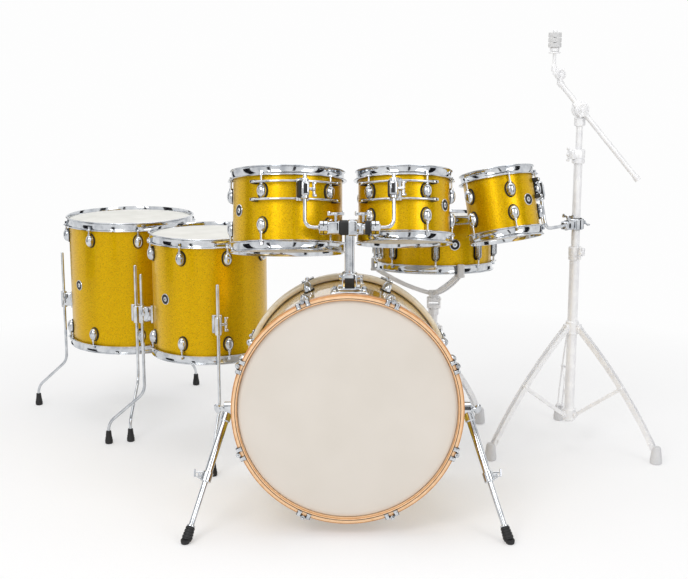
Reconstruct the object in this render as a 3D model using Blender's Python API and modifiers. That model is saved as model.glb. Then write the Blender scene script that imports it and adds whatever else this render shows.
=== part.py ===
"""A seven-drum kit with its tom holder, a snare stand and a boom stand.

X runs to the right as the audience sees the kit, Y towards the drummer and Z up, in metres.
While the kit is built, the front face of the bass drum is over the origin. The last step moves
the whole kit, so that the origin is on the floor under the middle of its bounding box.
Angles called bearings start at the audience's side (-Y) and grow to the right.
"""

from math import asin, cos, degrees, pi, radians, sin

import bmesh
import bpy
from mathutils import Matrix, Vector

# Fits shared by the whole kit
GAP = 0.0003
SLIDE_CLEARANCE = 0.0003
BORE_SIDES = 12
BORE_OVERRUN = 0.1

# Shells and heads
SHELL_WALL = 0.007
ROOT_SHARE = 0.6
HEAD_THICKNESS = 0.0012
COLLAR_WALL = 0.002
COLLAR_DROP = 0.009
DRUM_SIDES = 24
BASS_SIDES = 32

# Flanged metal hoops
HOOP_WALL = 0.0025
HOOP_RISE = 0.012
HOOP_DROP = 0.016
FLANGE_REACH = 0.0085
FLANGE_THICKNESS = 0.003

# Tension rods and lugs
ROD_RADIUS = 0.003
ROD_CLEARANCE = 0.0005
ROD_HEAD_RISE = 0.008
LUG_WIDTH = 0.027
LUG_HEIGHT = 0.041
LUG_DEPTH = 0.019
LUG_TAPER = 0.66
SNARE_LUG_WIDTH = 0.02
SNARE_LUG_INSET = 0.05
RACK_LUG_INSET = 0.056
FLOOR_LUG_INSET = 0.049

# Bass drum, 22 x 18 in
BASS_DIAMETER = 0.556
BASS_DEPTH = 0.457
BASS_TILT = 3.9
BASS_LUGS = 8
BASS_HOOP_WIDTH = 0.038
BASS_HOOP_WALL = 0.0155
BASS_HOOP_OVERHANG = 0.012
BASS_LUG_INSET = 0.1
CLAW_WIDTH = 0.038
CLAW_WALL = 0.0045
CLAW_LIP = 0.011
CLAW_REACH = 0.018
CLAW_GRIP = 0.001

# Rack toms, 12 x 8, 10 x 7 and 8 x 7 in
TOM_12_DIAMETER = 0.302
TOM_12_DEPTH = 0.203
TOM_12_LEAN = 13.0
TOM_12_FIRST_LUG = -23.6
TOM_10_DIAMETER = 0.251
TOM_10_DEPTH = 0.178
TOM_10_LEAN = 14.0
TOM_10_FIRST_LUG = 25
TOM_8_DIAMETER = 0.2
TOM_8_DEPTH = 0.178
TOM_8_LEAN = 14.0
TOM_8_SIDE_LEAN = 8.5
TOM_8_FIRST_LUG = 12
TOM_LUGS = 5

# Floor toms, 16 x 16 and 14 x 14 in
FLOOR_16_DIAMETER = 0.403
FLOOR_16_DEPTH = 0.406
FLOOR_16_X = -0.723
FLOOR_16_Y = 1.103
FLOOR_16_TOP = 0.676
FLOOR_16_FIRST_LUG = 16
FLOOR_16_LEGS = (-93, 12, 157)
FLOOR_14_DIAMETER = 0.352
FLOOR_14_DEPTH = 0.356
FLOOR_14_X = -0.424
FLOOR_14_Y = 0.759
FLOOR_14_TOP = 0.675
FLOOR_14_FIRST_LUG = 23
FLOOR_14_LEGS = (-79, 12, 140)
FLOOR_LUGS = 8

# Floor tom legs
LEG_RADIUS = 0.0048
LEG_STANDOFF = 0.034
LEG_SPREAD = 0.12
LEG_TURN = -17
LEG_KNEE = 0.17
LEG_ANKLE = 0.066
LEG_BEND = 0.025
LEG_LENGTH = 0.545
LEG_BRACKET_HEIGHT = 0.055
LEG_BRACKET_WIDTH = 0.03
LEG_BRACKET_WALL = 0.005
FLOOR_16_BRACKET = 0.385
FLOOR_14_BRACKET = 0.42
FOOT_RADIUS = 0.012
FOOT_TOP_RADIUS = 0.0084
FOOT_HEIGHT = 0.042

# Snare drum, 14 x 6 in
SNARE_DIAMETER = 0.352
SNARE_DEPTH = 0.152
SNARE_X = 0.274
SNARE_Y = 0.832
SNARE_Z = 0.631
SNARE_LEAN = 4.5
SNARE_LUGS = 8
SNARE_FIRST_LUG = -3
STRAINER_BEARING = -70
STRAINER_DROP = 0.02
STRAINER_DEPTH = 0.02
BUTT_DEPTH = 0.012
STRAINER_WIDTH = 0.03
STRAINER_HEIGHT = 0.06
LEVER_LENGTH = 0.056
LEVER_WIDTH = 0.014
LEVER_THICKNESS = 0.008
LEVER_EYE_WIDTH = 0.0168
WIRE_COUNT = 10
WIRE_PITCH = 0.0042
WIRE_RADIUS = 0.0009
WIRE_LENGTH = 0.31
WIRE_PLATE = 0.012
WIRE_LAP = 0.006

# Spurs of the bass drum
SPUR_Y = 0.118
SPUR_BEARING = 94
SPUR_STANDOFF = 0.034
SPUR_FOOT_X = 0.41
SPUR_FOOT_Y = -0.068
SPUR_TUBE_RADIUS = 0.0105
SPUR_TUBE_START = 0.004
SPUR_TUBE_LENGTH = 0.2
SPUR_LEG_RADIUS = 0.0073
SPUR_LEG_INSERT = 0.09
SPUR_TRAVEL = 0.07
SPUR_BOSS_RADIUS = 0.026
SPUR_EYE_RADIUS = 0.019
SPUR_EYE_WIDTH = 0.022
SPUR_KNOB_REACH = 0.027
SPUR_KNOB_RADIUS = 0.012
SPUR_KNOB_WIDTH = 0.01
SPUR_SCREW_RADIUS = 0.007
SPUR_CLAMP_RADIUS = 0.0145
SPUR_CLAMP_HEIGHT = 0.026
SPUR_CLAMP_LAP = 0.002
SPUR_TIP_LENGTH = 0.033
SPUR_TIP_RADIUS = 0.014
SPUR_PAD_HEIGHT = 0.012

# Tom holder on the bass drum
HOLDER_X = 0.005
HOLDER_Y = 0.2
HOLDER_PLATE_WIDTH = 0.1
HOLDER_PLATE_DEPTH = 0.07
HOLDER_PLATE_HEIGHT = 0.012
HOLDER_BLOCK_HEIGHT = 0.056
HOLDER_BLOCK_WIDTH = 0.042
HOLDER_PLATE_SINK = 0.03
HOLDER_KNOB_RADIUS = 0.011
HOLDER_KNOB_LENGTH = 0.014
HOLDER_KNOB_RISE = 0.008
POST_RADIUS = 0.0128
POST_INSERT = 0.14
POST_HOLE_CLEARANCE = 0.004
HEAD_Z = 0.766
HEAD_WIDTH = 0.158
HEAD_HEIGHT = 0.038
HEAD_DEPTH = 0.034
ARM_RADIUS = 0.0052
ARM_INSERT = 0.035
ARM_END_PLAY = 0.003
ARM_BEND = 0.026
ARM_12_X = -0.112
ARM_10_X = 0.121
ARM_HEIGHT = 0.142
ARM_STANDOFF = 0.045

# Suspension mounts of the rack toms
MOUNT_BAR_RADIUS = 0.0032
MOUNT_BAR_STANDOFF = 0.0165
MOUNT_BAR_SPAN = 0.047
MOUNT_PAD_WIDTH = 0.012
MOUNT_WIDTH = 0.026
MOUNT_WALL = 0.006
MOUNT_HEIGHT = 0.062
MOUNT_12_BEARING = 12.4
ARM_12_BEARING = 15.7
ARM_12_DROP = 0.0565
MOUNT_10_BEARING = -11
ARM_10_BEARING = -11.6
ARM_10_DROP = 0.0705

# Boom stand
BOOM_STAND_X = 0.69
BOOM_STAND_Y = 0.7
BOOM_STAND_BEARING = -64
BOOM_STAND_SPREAD = 0.285
BOOM_STAND_HUB = 0.383
BOOM_STAND_COLLAR = 0.107
BASE_TUBE_RADIUS = 0.015
BASE_TUBE_BOTTOM = 0.085
BASE_TUBE_TOP = 0.6
MIDDLE_TUBE_RADIUS = 0.0125
MIDDLE_TUBE_INSERT = 0.25
MIDDLE_TUBE_TRAVEL = 0.21
MIDDLE_TUBE_TOP = 0.893
UPPER_TUBE_RADIUS = 0.0098
UPPER_TUBE_INSERT = 0.13
UPPER_TUBE_TRAVEL = 0.05
UPPER_TUBE_REACH = 0.122
TUBE_CLAMP_RADIUS = 0.021
TUBE_CLAMP_HEIGHT = 0.034
TUBE_CLAMP_LAP = 0.008
BOOM_SEAT_RADIUS = 0.017
BOOM_SEAT_HEIGHT = 0.026
BOOM_SEAT_LAP = 0.02
BOOM_PIVOT_RISE = 0.03
BOOM_PIVOT_OFFSET = 0.024
BOOM_ANGLE = 49.8
BOOM_RADIUS = 0.008
BOOM_UPPER_REACH = 0.105
BOOM_LOWER_REACH = 0.27
BOOM_CLAMP_RADIUS = 0.026
BOOM_CLAMP_WIDTH = 0.02
BOOM_EYE_RADIUS = 0.0208
TILTER_RADIUS = 0.015
TILTER_EYE_REACH = 0.009
TILTER_RISE = 0.022
TILTER_WIDTH = 0.014
TILTER_ROD_RADIUS = 0.0045
TILTER_ROD_SHIFT = -0.02
TILTER_ROD_TOP = 0.128
TILTER_ARM_LENGTH = 0.026
TILTER_ARM_HEIGHT = 0.02
TILTER_ARM_RISE = 0.008
FELT_RADIUS = 0.0193
FELT_HEIGHT = 0.043
FELT_BOTTOM = 0.078

# Clamp that carries the smallest tom
TOM_CLAMP_Z = 0.703
TOM_CLAMP_RADIUS = 0.024
TOM_CLAMP_HEIGHT = 0.032
TOM_CLAMP_BLOCK = 0.026
TOM_CLAMP_BLOCK_REACH = 0.039
TOM_CLAMP_LAP = 0.011
TOM_CLAMP_KNOB_RADIUS = 0.008
TOM_CLAMP_KNOB_LENGTH = 0.024
TOM_CLAMP_KNOB_LAP = 0.003
ARM_8_BEARING = 120
ARM_8_DROP = 0.08
ARM_8_HEIGHT = 0.14
TOM_8_X = 0.444
TOM_8_Y = 0.543

# What both stands share
HUB_RADIUS = 0.026
HUB_HEIGHT = 0.04
COLLAR_RADIUS = 0.024
COLLAR_HEIGHT = 0.036
STRIP_OFFSET = 0.018
STRIP_WIDTH = 0.016
STRIP_THICKNESS = 0.007
BRACE_WIDTH = 0.012
BRACE_THICKNESS = 0.004
STAND_ANKLE = 0.03
STAND_FOOT_HEIGHT = 0.052
STAND_FOOT_RADIUS = 0.018
STAND_FOOT_TOP_RADIUS = 0.0135

# Snare stand
SNARE_STAND_SPREAD = 0.2
SNARE_STAND_BEARING = 4
SNARE_STAND_HUB = 0.27
SNARE_STAND_COLLAR = 0.09
SNARE_TUBE_BOTTOM = 0.07
SNARE_TUBE_TOP = 0.33
SNARE_STEM_INSERT = 0.17
SNARE_STEM_TRAVEL = 0.06
YOKE_WALL = 0.006
YOKE_WIDTH = 0.02
YOKE_BASE_WIDTH = 0.024
YOKE_BASE_HEIGHT = 0.012
YOKE_BASE_DROP = 0.032
YOKE_CHEEK_DROP = 0.021
YOKE_CHEEK_HEIGHT = 0.036
BASKET_DROP = 0.178
BASKET_HUB_RADIUS = 0.02
BASKET_HUB_HEIGHT = 0.03
GRIP_BEARING = 20
GRIP_WALL = 0.009
GRIP_HEIGHT = 0.04
GRIP_WIDTH = 0.02
GRIP_SHELF = 0.02
GRIP_LAP = 0.012
BASKET_ARM_START = 0.008
BASKET_ARM_RISE = 0.01

UP = Vector((0, 0, 1))


# Collections, empties and finishes


def clear_scene():
    for thing in list(bpy.data.objects):
        bpy.data.objects.remove(thing, do_unlink=True)


def new_collection(name, hidden=False):
    collection = bpy.data.collections.new(name)
    collection.hide_render = hidden
    bpy.context.scene.collection.children.link(collection)
    return collection


def empty(name, matrix=None, parent=None):
    marker = bpy.data.objects.new(name, None)
    marker.empty_display_size = 0.05
    PARTS.objects.link(marker)
    marker.parent = parent
    marker.matrix_local = matrix or Matrix.Identity(4)
    return marker


def finish(name, colour, roughness, metallic=0.0):
    material = bpy.data.materials.new(name)
    material.use_nodes = True
    shader = material.node_tree.nodes["Principled BSDF"]
    shader.inputs["Base Color"].default_value = (*colour, 1)
    shader.inputs["Roughness"].default_value = roughness
    shader.inputs["Metallic"].default_value = metallic
    return material


# Shapes that are added to a bmesh


def bar(shape, start, end, radius, sides=8, end_radius=None):
    """A round bar, or a cone, from one point to another."""
    start, end = Vector(start), Vector(end)
    turn = UP.rotation_difference(end - start).to_matrix().to_4x4()
    bmesh.ops.create_cone(
        shape,
        cap_ends=True,
        segments=sides,
        radius1=radius,
        radius2=radius if end_radius is None else end_radius,
        depth=(end - start).length,
        matrix=Matrix.Translation((start + end) / 2) @ turn,
    )


def block(shape, centre, size, turn=None):
    """A box about its centre, turned by a matrix."""
    turn = (turn or Matrix.Identity(3)).to_4x4()
    place = Matrix.Translation(centre) @ turn @ Matrix.Diagonal((*size, 1))
    bmesh.ops.create_cube(shape, size=1, matrix=place)


def strip(shape, start, end, width, thickness, across):
    """A flat bar between two points, with its width along the direction called across."""
    start, end = Vector(start), Vector(end)
    along = (end - start).normalized()
    flat = (Vector(across) - along * along.dot(across)).normalized()
    turn = Matrix((flat, along.cross(flat), along)).transposed()
    block(shape, (start + end) / 2, (width, thickness, (end - start).length), turn)


def bent_rod(shape, route, radius):
    """A round rod along a route, made as a curve with a bevel."""
    curve = bpy.data.curves.new("rod", "CURVE")
    curve.dimensions = "3D"
    curve.bevel_depth = radius
    curve.bevel_resolution = 2
    curve.use_fill_caps = True
    spline = curve.splines.new("POLY")
    spline.points.add(len(route) - 1)
    for point, place in zip(spline.points, route):
        point.co = (*place, 1)
    guide = bpy.data.objects.new("rod", curve)
    bpy.context.scene.collection.objects.link(guide)
    bpy.context.view_layer.update()
    evaluated = guide.evaluated_get(bpy.context.evaluated_depsgraph_get())
    mesh = bpy.data.meshes.new_from_object(evaluated)
    bpy.data.objects.remove(guide)
    rod = bmesh.new()
    rod.from_mesh(mesh)
    bmesh.ops.remove_doubles(rod, verts=rod.verts, dist=1e-6)
    rod.to_mesh(mesh)
    rod.free()
    shape.from_mesh(mesh)
    bpy.data.meshes.remove(mesh)


def rounded(corners, reach, steps=3):
    """The route through the corners, with each inner corner drawn as a bend of this reach."""
    route = [corners[0]]
    for before, corner, after in zip(corners, corners[1:], corners[2:]):
        first = corner + (before - corner).normalized() * reach
        last = corner + (after - corner).normalized() * reach
        for step in range(steps + 1):
            t = step / steps
            route.append(first * (1 - t) ** 2 + corner * 2 * t * (1 - t) + last * t * t)
    return route + [corners[-1]]


def bore_size(radius):
    """The corner radius of a bore that a round bar of this radius can turn in."""
    return (radius + SLIDE_CLEARANCE) / cos(pi / BORE_SIDES)


def sleeve_size(radius):
    """The corner radius of a bore for a bar with as many sides, which only slides."""
    return radius + SLIDE_CLEARANCE / cos(pi / BORE_SIDES)


def bearing(angle, radius=1.0, height=0.0):
    """The point at a bearing, a radius and a height."""
    return Vector((radius * sin(radians(angle)), -radius * cos(radians(angle)), height))


def facing(angle):
    """The turn whose Y axis points outwards at a bearing and whose Z axis is up."""
    out = bearing(angle)
    return Matrix((out.cross(UP), out, UP)).transposed()


# Objects


def show_smooth(mesh):
    mesh.shade_smooth()
    mesh.set_sharp_from_angle(angle=radians(30))


def add_object(name, mesh, collection, parent, origin):
    thing = bpy.data.objects.new(name, mesh)
    collection.objects.link(thing)
    thing.parent = parent
    thing.location = origin
    return thing


def to_mesh(name, shape, origin):
    bmesh.ops.translate(shape, verts=shape.verts, vec=-Vector(origin))
    mesh = bpy.data.meshes.new(name)
    shape.to_mesh(mesh)
    shape.free()
    return mesh


def combine(thing, label, operation, shape, origin):
    """Joins to the object, or cuts from it, all that the shape holds."""
    helper_name = f"{thing.name}_{label}"
    mesh = to_mesh(helper_name, shape, origin)
    helper = add_object(helper_name, mesh, HELPERS, thing.parent, origin)
    helper.hide_render = True
    helper.display_type = "WIRE"
    modifier = thing.modifiers.new(label, "BOOLEAN")
    modifier.operation = operation
    modifier.object = helper
    modifier.use_self = operation == "UNION"


def solid(name, base, material, parent, origin=(0, 0, 0), joined=None, bores=None):
    """A sub-part from bmesh shapes: a base, what is joined to it and what is bored out."""
    mesh = to_mesh(name, base, origin)
    show_smooth(mesh)
    mesh.materials.append(material)
    thing = add_object(name, mesh, PARTS, parent, origin)
    if joined:
        combine(thing, "joined", "UNION", joined, origin)
    if bores:
        combine(thing, "bores", "DIFFERENCE", bores, origin)
    return thing


def turned(name, profile, closed, sides, material, parent):
    """A sub-part turned about Z from (radius, height) points that run down its outer side."""
    mesh = bpy.data.meshes.new(name)
    count = len(profile)
    edges = [(k, (k + 1) % count) for k in range(count if closed else count - 1)]
    mesh.from_pydata([(radius, 0, height) for radius, height in profile], edges, [])
    mesh.materials.append(material)
    thing = add_object(name, mesh, PARTS, parent, (0, 0, 0))
    screw = thing.modifiers.new("turn", "SCREW")
    screw.steps = sides
    screw.render_steps = sides
    screw.use_merge_vertices = True
    screw.merge_threshold = 0.00001
    return thing


def flipped(profile, end):
    """The profile for the upper end, or its mirror image for the lower end."""
    if end > 0:
        return profile
    return [(radius, -height) for radius, height in reversed(profile)]


# Drums, each built about its own axis with the played head at +Z


def lug_bearings(count, first):
    return [first + 360 * k / count for k in range(count)]


def root_radius(radius):
    """How far in a casting on a shell of this radius is rooted."""
    return radius - ROOT_SHARE * SHELL_WALL


def add_lug(shape, radius, angle, height, size):
    """An oval casing on the shell, broad at its foot and narrower at its face."""
    width, tall, depth = size
    inner = root_radius(radius)
    place = Matrix.Translation(bearing(angle, (inner + radius + depth) / 2, height))
    stand = facing(angle).to_4x4() @ Matrix.Rotation(-pi / 2, 4, "X")
    oval = Matrix.Diagonal((width / 2, tall / 2, 1, 1))
    bmesh.ops.create_cone(
        shape,
        cap_ends=True,
        segments=6,
        radius1=1,
        radius2=LUG_TAPER,
        depth=radius + depth - inner,
        matrix=place @ stand @ oval @ Matrix.Rotation(pi / 6, 4, "Z"),
    )


def shell(name, drum, parent, joined, bores=None):
    radius, half = drum["diameter"] / 2, drum["depth"] / 2
    inner = radius - SHELL_WALL
    profile = [(radius, half), (radius, -half), (inner, -half), (inner, half)]
    thing = turned(name, profile, True, drum["sides"], LACQUER, parent)
    combine(thing, "joined", "UNION", joined, (0, 0, 0))
    if bores:
        combine(thing, "bores", "DIFFERENCE", bores, (0, 0, 0))
    return thing


def head(name, drum, end, parent):
    """A drum head with its collar down the outside of the shell."""
    radius, half = drum["diameter"] / 2, drum["depth"] / 2
    bottom, top = half + GAP, half + GAP + HEAD_THICKNESS
    inner, outer = radius + GAP, radius + GAP + COLLAR_WALL
    skirt = half - COLLAR_DROP
    profile = [(0, top), (outer, top), (outer, skirt), (inner, skirt), (inner, bottom), (0, bottom)]
    return turned(name, flipped(profile, end), False, drum["sides"], HEAD_FILM, parent)


def metal_hoop(name, drum, end, parent):
    """A flanged hoop with its tension rods, which reach the lugs."""
    radius, half = drum["diameter"] / 2, drum["depth"] / 2
    inner = radius + GAP + COLLAR_WALL + GAP
    wall, flange = inner + HOOP_WALL, inner + HOOP_WALL + FLANGE_REACH
    top, low = half + HOOP_RISE, half - HOOP_DROP
    profile = [(wall, top), (wall, low + FLANGE_THICKNESS), (flange, low + FLANGE_THICKNESS)]
    profile += [(flange, low), (inner, low), (inner, top)]
    thing = turned(name, flipped(profile, end), True, drum["sides"], CHROME, parent)
    rods = bmesh.new()
    lug_top = half - drum["lug_inset"] + drum["lug_size"][1] / 2
    for angle in lug_bearings(drum["lugs"], drum["first_lug"]):
        place = bearing(angle, wall + ROD_CLEARANCE + ROD_RADIUS)
        foot = place + UP * end * (lug_top + GAP)
        tip = place + UP * end * (low + FLANGE_THICKNESS + ROD_HEAD_RISE)
        bar(rods, foot, tip, ROD_RADIUS, 4)
    combine(thing, "rods", "UNION", rods, (0, 0, 0))
    return thing


def lugs(drum):
    shape = bmesh.new()
    half = drum["depth"] / 2
    heights = [half - drum["lug_inset"], drum["lug_inset"] - half]
    if drum["double_lugs"]:
        heights = [0]
    for angle in lug_bearings(drum["lugs"], drum["first_lug"]):
        for height in heights:
            add_lug(shape, drum["diameter"] / 2, angle, height, drum["lug_size"])
    return shape


def drum_sizes(diameter, depth, count, first, inset, double=False):
    size = (LUG_WIDTH, LUG_HEIGHT, LUG_DEPTH)
    if double:
        size = (SNARE_LUG_WIDTH, 2 * (depth / 2 - inset) + LUG_HEIGHT, LUG_DEPTH)
        inset = depth / 2
    return {
        "diameter": diameter,
        "depth": depth,
        "lugs": count,
        "first_lug": first,
        "lug_inset": inset,
        "lug_size": size,
        "double_lugs": double,
        "sides": DRUM_SIDES,
    }


def lean_turn(lean, side_lean=0.0):
    """A turn whose Z axis leans towards the drummer, and to the left by the side lean."""
    return Matrix.Rotation(radians(-side_lean), 3, "Y") @ Matrix.Rotation(radians(-lean), 3, "X")


def drum_frame(name, centre, turn):
    return empty(name, Matrix.Translation(centre) @ turn.to_4x4(), KIT)


def dress_drum(name, drum, frame, fittings, bores=None):
    """The shell with its lugs and fittings, both heads and both hoops."""
    shell(f"{name}_shell", drum, frame, fittings, bores)
    for label, end in (("batter", 1), ("resonant", -1)):
        head(f"{name}_{label}_head", drum, end, frame)
        metal_hoop(f"{name}_{label}_hoop", drum, end, frame)


# Bass drum


def bass_sizes():
    return {
        "diameter": BASS_DIAMETER,
        "depth": BASS_DEPTH,
        "sides": BASS_SIDES,
    }


def bass_hoop_radius():
    return BASS_DIAMETER / 2 + GAP + COLLAR_WALL + GAP + BASS_HOOP_WALL


def bass_matrix():
    """The bass drum's own frame: Z along its axis to the audience, Y up the drum."""
    half = BASS_DEPTH / 2 + BASS_HOOP_OVERHANG
    tilt = radians(BASS_TILT)
    centre = Vector((0, half * cos(tilt), half * sin(tilt) + bass_hoop_radius() * cos(tilt)))
    return Matrix.Translation(centre) @ Matrix.Rotation(pi / 2 - tilt, 4, "X")


def bass_hoop(name, end, parent):
    """A wooden hoop with its claws and their rods, which reach the lugs."""
    outer = bass_hoop_radius()
    inner = outer - BASS_HOOP_WALL
    face = BASS_DEPTH / 2 + BASS_HOOP_OVERHANG
    back = face - BASS_HOOP_WIDTH
    profile = [(outer, face), (outer, back), (inner, back), (inner, face)]
    thing = turned(name, flipped(profile, end), True, BASS_SIDES, HOOP_WOOD, parent)
    claws = bmesh.new()
    lug_face = BASS_DEPTH / 2 - BASS_LUG_INSET + LUG_HEIGHT / 2
    reach = outer + ROD_CLEARANCE + ROD_RADIUS
    flat = outer * cos(pi / BASS_SIDES)
    lip, sunk, out = flat - CLAW_LIP, flat - 2 * CLAW_GRIP, outer + CLAW_WALL
    for angle in lug_bearings(BASS_LUGS, 180 / BASS_LUGS):
        turn = facing(angle)
        middle = bearing(angle, (lip + out) / 2, end * (face + CLAW_WALL / 2 - CLAW_GRIP))
        block(claws, middle, (CLAW_WIDTH, out - lip, CLAW_WALL + 2 * CLAW_GRIP), turn)
        skirt = bearing(angle, (sunk + out) / 2, end * (face + CLAW_GRIP - CLAW_REACH / 2))
        block(claws, skirt, (CLAW_WIDTH, out - sunk, CLAW_REACH + 2 * CLAW_GRIP), turn)
        foot = bearing(angle, reach, end * (lug_face + GAP))
        bar(claws, foot, bearing(angle, reach, end * (face - CLAW_WALL)), ROD_RADIUS, 4)
    combine(thing, "claws", "UNION", claws, (0, 0, 0))
    return thing


def bass_lugs():
    """Lugs whose faces stand under the claws' rods."""
    shape = bmesh.new()
    depth = bass_hoop_radius() + ROD_CLEARANCE + 2 * ROD_RADIUS - BASS_DIAMETER / 2
    for angle in lug_bearings(BASS_LUGS, 180 / BASS_LUGS):
        for height in (BASS_DEPTH / 2 - BASS_LUG_INSET, BASS_LUG_INSET - BASS_DEPTH / 2):
            size = (LUG_WIDTH, LUG_HEIGHT, depth)
            add_lug(shape, BASS_DIAMETER / 2, angle, height, size)
    return shape


def spur_bracket(shape, side):
    """A round boss on the shell that carries a spur's pivot."""
    pivot = bass_matrix().inverted() @ spur_pivot(side)
    face = pivot - Vector((side * (SPUR_EYE_WIDTH / 2 + GAP), 0, 0))
    inside = side * root_radius(BASS_DIAMETER / 2)
    bar(shape, (inside, face.y, face.z), face, SPUR_BOSS_RADIUS, 8)


def build_bass():
    frame = empty("bass_drum", bass_matrix(), KIT)
    drum = bass_sizes()
    fittings = bass_lugs()
    for side in (-1, 1):
        spur_bracket(fittings, side)
    bores = bmesh.new()
    into_drum = bass_matrix().inverted()
    low = bass_top_height(HOLDER_Y) - BORE_OVERRUN
    hole = [into_drum @ Vector((HOLDER_X, HOLDER_Y, z)) for z in (low, HEAD_Z)]
    bar(bores, hole[0], hole[1], POST_RADIUS + POST_HOLE_CLEARANCE, BORE_SIDES)
    shell("bass_shell", drum, frame, fittings, bores)
    for label, end in (("resonant", 1), ("batter", -1)):
        head(f"bass_{label}_head", drum, end, frame)
        bass_hoop(f"bass_{label}_hoop", end, frame)


# Spurs


def spur_pivot(side):
    """Where a spur's hinge axis crosses the middle of its eye."""
    middle = bass_matrix().translation
    axis_z = middle.z - (SPUR_Y - middle.y) * sin(radians(BASS_TILT))
    out = BASS_DIAMETER / 2 + SPUR_STANDOFF
    drop = out * sin(radians(SPUR_BEARING - 90))
    return Vector((side * out, SPUR_Y, axis_z - drop))


def spur_line(side):
    """The spur's foot on the floor and the direction from its pivot to the foot."""
    foot = Vector((side * SPUR_FOOT_X, SPUR_FOOT_Y, 0))
    return foot, (foot - spur_pivot(side)).normalized()


def build_spur(side, label):
    """A pivoting tube and the leg that slides in it, with its rubber tip."""
    pivot = spur_pivot(side)
    foot, along = spur_line(side)
    tube_end = pivot + along * SPUR_TUBE_LENGTH
    half_eye = Vector((SPUR_EYE_WIDTH / 2, 0, 0))
    eye, tube, bore = bmesh.new(), bmesh.new(), bmesh.new()
    bar(eye, pivot - half_eye, pivot + half_eye, SPUR_EYE_RADIUS, 10)
    knob = pivot + Vector((side * SPUR_KNOB_REACH, 0, 0))
    half_knob = Vector((0, SPUR_KNOB_WIDTH / 2, 0))
    bar(tube, pivot, knob, SPUR_SCREW_RADIUS)
    bar(tube, knob - half_knob, knob + half_knob, SPUR_KNOB_RADIUS)
    bar(tube, pivot + along * SPUR_TUBE_START, tube_end, SPUR_TUBE_RADIUS)
    clamp_start = tube_end - along * SPUR_CLAMP_HEIGHT
    bar(tube, clamp_start, tube_end + along * SPUR_CLAMP_LAP, SPUR_CLAMP_RADIUS)
    bore_radius = sleeve_size(SPUR_LEG_RADIUS)
    bore_top = tube_end - along * (SPUR_LEG_INSERT + SPUR_TRAVEL)
    bar(bore, bore_top, tube_end + along * BORE_OVERRUN, bore_radius, BORE_SIDES)
    solid(f"spur_{label}_tube", eye, CHROME, KIT, pivot, tube, bore)

    leg, tip = bmesh.new(), bmesh.new()
    tip_low = foot - along * SPUR_PAD_HEIGHT
    inner = tube_end - along * SPUR_LEG_INSERT
    bar(leg, inner, tip_low - along * SPUR_TIP_LENGTH / 3, SPUR_LEG_RADIUS, BORE_SIDES)
    bar(tip, tip_low - along * SPUR_TIP_LENGTH, tip_low, SPUR_TIP_RADIUS)
    bar(tip, foot, foot + UP * SPUR_PAD_HEIGHT, FOOT_RADIUS)
    solid(f"spur_{label}_leg", leg, CHROME, KIT, tube_end, tip)


# Tom holder


def bass_top_height(y):
    """The height of the bass shell's upper line above a place along the kit."""
    middle = bass_matrix().translation
    tilt = radians(BASS_TILT)
    return middle.z + BASS_DIAMETER / 2 / cos(tilt) - (y - middle.y) * sin(tilt) / cos(tilt)


def build_holder():
    """The base on the bass shell, the post that slides in it and the cross head."""
    top = bass_top_height(HOLDER_Y)
    low = top - HOLDER_PLATE_SINK
    plate, column, cuts = bmesh.new(), bmesh.new(), bmesh.new()
    plate_top = top + HOLDER_PLATE_HEIGHT
    middle = (HOLDER_X, HOLDER_Y, (low + plate_top) / 2)
    block(plate, middle, (HOLDER_PLATE_WIDTH, HOLDER_PLATE_DEPTH, plate_top - low))
    base_top = top + HOLDER_BLOCK_HEIGHT
    middle = (HOLDER_X, HOLDER_Y, (top + base_top) / 2)
    block(column, middle, (HOLDER_BLOCK_WIDTH, HOLDER_BLOCK_WIDTH, base_top - top))
    knob = Vector((HOLDER_X, HOLDER_Y, (top + base_top) / 2 + HOLDER_KNOB_RISE))
    knob_end = knob + Vector((HOLDER_BLOCK_WIDTH / 2 + HOLDER_KNOB_LENGTH, 0, 0))
    bar(column, knob, knob_end, HOLDER_KNOB_RADIUS)
    through = [(HOLDER_X, HOLDER_Y, z) for z in (low - BORE_OVERRUN, HEAD_Z)]
    bar(cuts, through[0], through[1], sleeve_size(POST_RADIUS), BORE_SIDES)
    drum = bass_matrix()
    reach = drum.to_3x3() @ Vector((0, 0, BASS_DEPTH))
    around = bmesh.new()
    bmesh.ops.create_cone(
        around,
        cap_ends=True,
        segments=BASS_SIDES,
        radius1=BASS_DIAMETER / 2 + GAP,
        radius2=BASS_DIAMETER / 2 + GAP,
        depth=reach.length,
        matrix=drum,
    )
    base = solid("tom_holder_base", plate, CHROME, KIT, joined=column, bores=cuts)
    combine(base, "seat", "DIFFERENCE", around, (0, 0, 0))

    post, cross, bores = bmesh.new(), bmesh.new(), bmesh.new()
    foot = Vector((HOLDER_X, HOLDER_Y, top - POST_INSERT))
    bar(post, foot, (HOLDER_X, HOLDER_Y, HEAD_Z), POST_RADIUS, BORE_SIDES)
    middle = Vector((HOLDER_X, HOLDER_Y, HEAD_Z))
    block(cross, middle, (HEAD_WIDTH, HEAD_DEPTH, HEAD_HEIGHT))
    for side in (-1, 1):
        mouth = middle + Vector((side * HEAD_WIDTH / 2, 0, 0))
        inner = mouth - Vector((side * (ARM_INSERT + ARM_END_PLAY), 0, 0))
        outer = mouth + Vector((side * BORE_OVERRUN, 0, 0))
        bar(bores, inner, outer, bore_size(ARM_RADIUS), BORE_SIDES)
    solid("tom_holder_post", post, CHROME, KIT, foot, cross, bores)


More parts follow.
